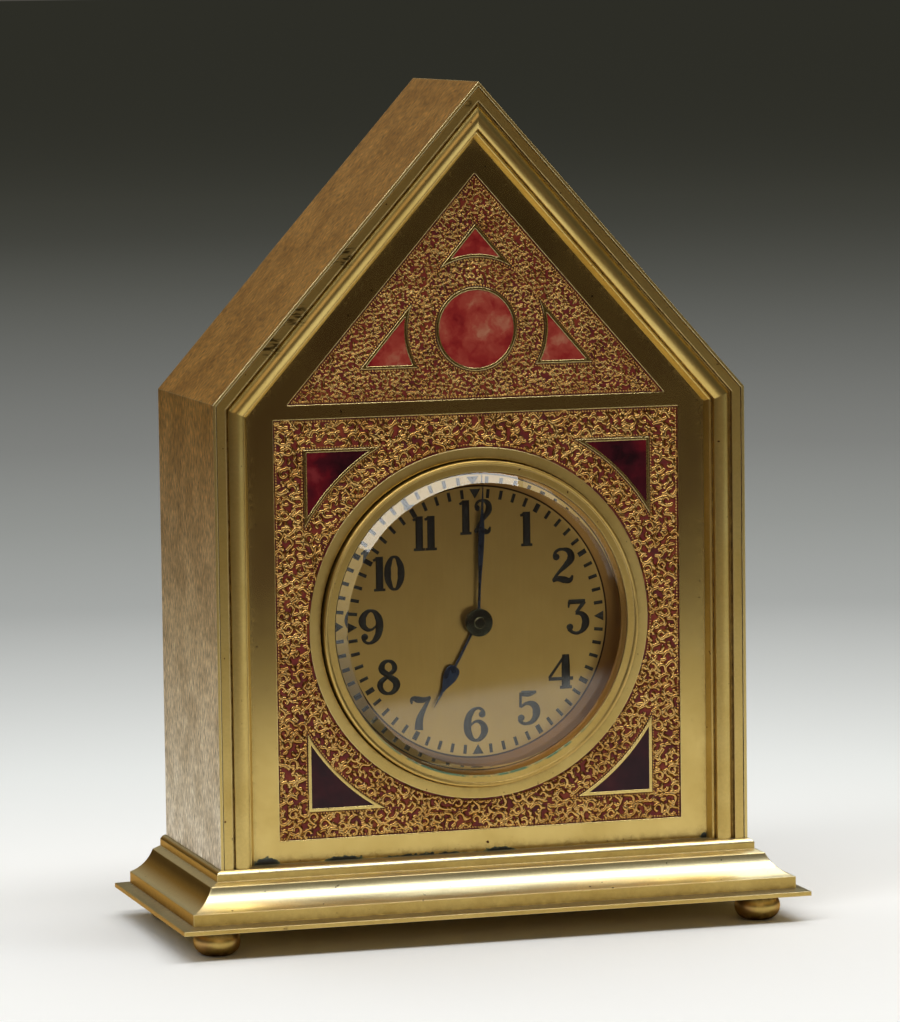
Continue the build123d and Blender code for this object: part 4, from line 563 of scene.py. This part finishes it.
def scatter(rng, room, bounds, gap, edgeGap, tries, kept=(), keptGap=0.0):
    spots, cells = [], {}
    size = max(gap, keptGap)
    for x, z in kept:
        cells.setdefault((int(x // size), int(z // size)), []).append((x, z, keptGap))
    for _ in range(tries):
        x = rng.uniform(bounds[0], bounds[1])
        z = rng.uniform(bounds[2], bounds[3])
        if room(x, z) < edgeGap:
            continue
        key = (int(x // size), int(z // size))
        near = [s for i in (-1, 0, 1) for j in (-1, 0, 1) for s in cells.get((key[0] + i, key[1] + j), [])]
        if all(math.hypot(x - a, z - b) > reach for a, b, reach in near):
            cells.setdefault(key, []).append((x, z, gap))
            spots.append((x, z))
    return spots


def scrollLine(rng, x, z, radius, half):  # a ring that curls in at one end and runs out at the other
    turn = rng.uniform(0, 2 * math.pi)
    hand = rng.choice((-1, 1))
    sweep = rng.uniform(3.4, 6.2)
    line = []
    for step in range(6):
        share = step / 5
        angle = turn + hand * sweep * share
        reach = radius * (1 - 0.35 * max(0, share - 0.6) / 0.4)
        line.append((x + reach * math.cos(angle), z + reach * math.sin(angle), half))
    tail = turn - hand * 0.55
    line.insert(0, (x + radius * 1.5 * math.cos(tail), z + radius * 1.5 * math.sin(tail), half * 0.8))
    return line


def commaLine(rng, x, z, half):
    turn = rng.uniform(0, 2 * math.pi)
    bend = turn + rng.choice((-0.8, 0.8))
    return [
        (x - half * 1.2 * math.cos(turn), z - half * 1.2 * math.sin(turn), half * 0.7),
        (x, z, half * 1.1),
        (x + half * 1.2 * math.cos(bend), z + half * 1.2 * math.sin(bend), half * 0.8),
    ]


def etchScrolls(s):
    rng = random.Random(s["seed"])
    lines = []
    squareBounds = (-field["half"], field["half"], field["low"], field["high"])
    gableBounds = (-field["gableHalf"], field["gableHalf"], field["gableLow"], field["gableLow"] + field["gableRise"])
    for room, bounds, (gap, half) in ((squareRoom, squareBounds, s["square"]), (gableRoom, gableBounds, s["gable"])):
        rings = scatter(rng, room, bounds, gap, s["edgeGap"], s["tries"])
        for x, z in rings:
            lines.append((scrollLine(rng, x, z, gap * rng.uniform(0.34, 0.45), gap * half), False, False))
        commas = scatter(rng, room, bounds, gap * 0.42, s["edgeGap"] - 0.1, s["tries"], rings, gap * 0.53)
        for x, z in commas:
            lines.append((commaLine(rng, x, z, gap * half), False, False))
    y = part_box("enamel_ground")[0][1]
    piece = drawLines("etchedScrolls", lines, y, s["relief"], giltScroll, detail=2, sides=0)
    print("scrolls:", len(lines), "lines,", len(piece.data.polygons), "faces")


etchScrolls(scrolls)

beads = {"half": 0.21, "pitch": 0.47, "edge": 0.36, "ring": 0.5, "cell": 0.78, "touch": 0.03, "slack": 0.05}


def layBeads(b):
    shape = bmesh.new()
    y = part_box("enamel_ground")[0][1]
    roundelZ = field["roundelZ"]

    def string(points, keep):
        for x, z in points:
            if keep(x, z):
                place = Matrix.Translation((x * mm, y, z * mm))
                bmesh.ops.create_icosphere(shape, subdivisions=1, radius=b["half"] * mm, matrix=place)

    def straight(x0, z0, x1, z1):
        count = round(math.hypot(x1 - x0, z1 - z0) / b["pitch"])
        return [(x0 + (x1 - x0) * i / count, z0 + (z1 - z0) * i / count) for i in range(count)]

    def circle(z, radius):
        count = round(2 * math.pi * radius / b["pitch"])
        turns = [2 * math.pi * i / count for i in range(count)]
        return [(radius * math.sin(t), z + radius * math.cos(t)) for t in turns]

    def gableRuns(low, half, rise, grow):  # the three sides, moved out by grow
        wide = half + grow * (math.hypot(half, rise) + half) / rise
        foot = low - grow
        top = foot + wide * rise / half
        return (-wide, foot, wide, foot), (wide, foot, 0, top), (0, top, -wide, foot)

    def everywhere(x, z):
        return True

    edge, cell = b["edge"], b["cell"]
    half, low, high = field["half"] - edge, field["low"] + edge, field["high"] - edge
    for run in ((-half, low, half, low), (half, low, half, high), (half, high, -half, high), (-half, high, -half, low)):
        string(straight(*run), lambda x, z: squareRoom(x, z) > edge - b["slack"])
    string(circle(dialZ, field["ring"] + b["ring"]), everywhere)

    def onCell(x, z):
        return abs(spandrel(x, z) - cell) < b["touch"]

    cellX, cellZ = field["cellX"] + cell, field["cellZ"] + cell
    for side in (-1, 1):
        string(straight(side * cellX, dialZ - cellZ, side * cellX, dialZ + cellZ), onCell)
        string(straight(-cellX, dialZ + side * cellZ, cellX, dialZ + side * cellZ), onCell)
    string(circle(dialZ, field["cellRing"] - cell), onCell)

    def onCorner(x, z):
        return abs(corner(x, z) - cell) < b["touch"]

    for run in gableRuns(field["cornerLow"], field["cornerHalf"], field["cornerRise"], cell):
        string(straight(*run), onCorner)
    string(circle(roundelZ, field["cornerRing"] - cell), onCorner)
    string(circle(roundelZ, field["roundel"] + cell), everywhere)
    for run in gableRuns(field["gableLow"], field["gableHalf"], field["gableRise"], -edge):
        string(straight(*run), lambda x, z: gableRoom(x, z) > edge - b["slack"])

    mesh = bpy.data.meshes.new("beadLines")
    shape.to_mesh(mesh)
    shape.free()
    mesh.shade_smooth()
    mesh.materials.append(giltScroll)
    piece = bpy.data.objects.new("beadLines", mesh)
    scene.collection.objects.link(piece)
    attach(piece, "case")
    print("bead lines:", len(mesh.polygons), "faces")


layBeads(beads)

# Dial printing: upright figures with thick and thin strokes, minute strokes and four pointers
# dark green-black printer's paint, slightly raised and worn
inkFinish, inkTree, inkMm = startFinish("dial paint")
inkCloud = addNode(inkTree, "TexNoise", {"Vector": inkMm, "Scale": 0.8, "Detail": 4}).outputs[0]
inkTones = [(0.35, "#0A0D09"), (0.55, "#10140F"), (0.75, "#1C241E")]
inkColour = addNode(inkTree, "ValToRGB", {0: inkCloud}, stops=inkTones).outputs[0]
inkRough = addNode(inkTree, "MapRange", {0: inkCloud, 3: 0.35, 4: 0.55}).outputs[0]
inkBump = addNode(inkTree, "Bump", {"Height": inkCloud, "Strength": 0.2, "Distance": 0.00003}).outputs[0]
endFinish(inkTree, {"Base Color": inkColour, "Roughness": inkRough, "Specular IOR Level": 0.25, "Normal": inkBump})

dialPrint = {
    "height": 5.7, "ring": 17.25, "weight": 1.3, "wide": 1.3, "relief": 0.05,
    "markIn": 20.35, "markOut": 21.85, "thin": 0.32, "thick": 0.47, "pointer": 0.95,
}


def ball(x, z, r):
    return [(x - r, z, 0.01), (x - 0.75 * r, z, 0.66 * r), (x, z, r), (x + 0.75 * r, z, 0.66 * r), (x + r, z, 0.01)]


def flipped(strokes):
    return [([(-x, -z, h) for x, z, h in line], straight, closed) for line, straight, closed in strokes]


six = [
    ([(0.18, 0.29, 0.05), (0.14, 0.42, 0.034), (0.03, 0.465, 0.03), (-0.12, 0.33, 0.07), (-0.195, 0.0, 0.092),
      (-0.16, -0.29, 0.078), (-0.01, -0.465, 0.032), (0.14, -0.36, 0.065), (0.195, -0.16, 0.088), (0.12, 0.04, 0.055),
      (0.0, 0.085, 0.03), (-0.13, -0.03, 0.022)], False, False),
    (ball(0.145, 0.285, 0.08), False, False),
]
figures = {  # strokes in parts of the figure's height
    "0": [([(0, 0.468, 0.032), (-0.16, 0.27, 0.08), (-0.2, 0, 0.095), (-0.16, -0.27, 0.08),
            (0, -0.468, 0.032), (0.16, -0.27, 0.08), (0.2, 0, 0.095), (0.16, 0.27, 0.08)], False, True)],
    "1": [([(0.03, 0.49, 0.086), (0.03, -0.46, 0.086)], True, False),
          ([(-0.02, 0.47, 0.03), (-0.07, 0.42, 0.042), (-0.16, 0.385, 0.03)], False, False),
          ([(-0.14, -0.465, 0.035), (0.2, -0.465, 0.035)], True, False)],
    "2": [([(-0.2, 0.26, 0.04), (-0.15, 0.41, 0.036), (0.01, 0.465, 0.034), (0.16, 0.38, 0.072),
            (0.19, 0.2, 0.088), (0.08, 0.01, 0.065), (-0.1, -0.21, 0.036), (-0.23, -0.42, 0.03)], False, False),
          ([(-0.24, -0.45, 0.03), (-0.12, -0.385, 0.06), (0.03, -0.42, 0.078), (0.16, -0.44, 0.058),
            (0.23, -0.3, 0.022)], False, False),
          (ball(-0.15, 0.25, 0.08), False, False)],
    "3": [([(-0.19, 0.44, 0.052), (0.2, 0.44, 0.052)], True, False),
          ([(-0.17, 0.45, 0.035), (-0.19, 0.27, 0.018)], True, False),
          ([(0.18, 0.44, 0.05), (-0.01, 0.12, 0.036)], True, False),
          ([(-0.03, 0.1, 0.03), (0.1, 0.09, 0.055), (0.195, -0.05, 0.085), (0.195, -0.25, 0.088),
            (0.07, -0.45, 0.04), (-0.08, -0.455, 0.036), (-0.19, -0.34, 0.05)], False, False),
          (ball(-0.16, -0.29, 0.08), False, False)],
    "4": [([(0.1, 0.48, 0.03), (-0.28, -0.18, 0.032)], True, False),
          ([(-0.29, -0.21, 0.04), (0.28, -0.21, 0.04)], True, False),
          ([(0.11, 0.49, 0.07), (0.11, 0.2, 0.085), (0.11, -0.46, 0.085)], True, False),
          ([(-0.03, -0.465, 0.035), (0.25, -0.465, 0.035)], True, False)],
    "5": [([(-0.15, 0.42, 0.06), (0.02, 0.405, 0.072), (0.2, 0.45, 0.03)], False, False),
          ([(-0.16, 0.45, 0.032), (-0.17, 0.02, 0.032)], True, False),
          ([(-0.17, 0.02, 0.028), (-0.02, 0.125, 0.04), (0.15, 0.06, 0.08), (0.2, -0.15, 0.092),
            (0.13, -0.37, 0.062), (-0.02, -0.465, 0.034), (-0.14, -0.43, 0.04), (-0.2, -0.32, 0.05)], False, False),
          (ball(-0.155, -0.29, 0.08), False, False)],
    "6": six,
    "7": [([(-0.22, 0.28, 0.02), (-0.2, 0.42, 0.05), (-0.07, 0.4, 0.075), (0.07, 0.385, 0.062),
            (0.22, 0.46, 0.028)], False, False),
          ([(0.21, 0.45, 0.03), (0.07, 0.14, 0.05), (-0.04, -0.18, 0.085), (-0.06, -0.48, 0.1)], False, False)],
    "8": [([(0.0, 0.47, 0.034), (-0.15, 0.27, 0.078), (0.0, 0.05, 0.062), (0.19, -0.22, 0.088),
            (0.0, -0.47, 0.034), (-0.19, -0.22, 0.072), (0.0, 0.05, 0.045), (0.15, 0.27, 0.062)], False, True)],
    "9": flipped(six),
}
pairs = {10: (-0.28, 0.19), 11: (-0.19, 0.16), 12: (-0.31, 0.22)}  # the two digits either side of the middle
# figures set one by one, in mm
nudges = {4: (-0.5, -0.3), 5: (0.0, 0.3), 6: (-0.3, 0.3), 7: (-1.0, 0.3), 8: (-0.2, 0.2), 9: (-0.7, 0.0)}


def printDial(p):
    lines = []
    tall = p["height"]
    for hour in range(1, 13):
        angle = math.radians(30 * hour)
        x0, z0 = p["ring"] * math.sin(angle), dialZ + p["ring"] * math.cos(angle)
        sideways, up = nudges.get(hour, (0.0, 0.0))
        wide = p["wide"] if 1 < hour < 10 else 1.0
        for digit, shift in zip(str(hour), pairs.get(hour, (0.0,))):
            for line, straight, closed in figures[digit]:
                weight = p["weight"] * (0.5 + wide / 2)
                scaled = [((x * wide + shift) * tall, z * tall, h * weight * tall) for x, z, h in line]
                lines.append(([(x0 + sideways + x, z0 + up + z, h) for x, z, h in scaled], straight, closed))
    for minute in range(60):
        angle = math.radians(6 * minute)
        sx, sz = math.sin(angle), math.cos(angle)
        half = p["thick"] if minute % 5 == 0 else p["thin"]
        ends = [(p["markOut"], half), (p["markIn"], half)]
        if minute % 15 == 0:
            ends = [(p["markOut"], p["pointer"]), (p["markIn"] - 0.1, 0.02)]
        lines.append(([(r * sx, dialZ + r * sz, h) for r, h in ends], True, False))
    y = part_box("dial")[0][1]
    piece = drawLines("dialFigures", lines, y, p["relief"], inkFinish, detail=6, sides=1)
    print("dial printing:", len(piece.data.polygons), "faces")


printDial(dialPrint)

print("scene ready")
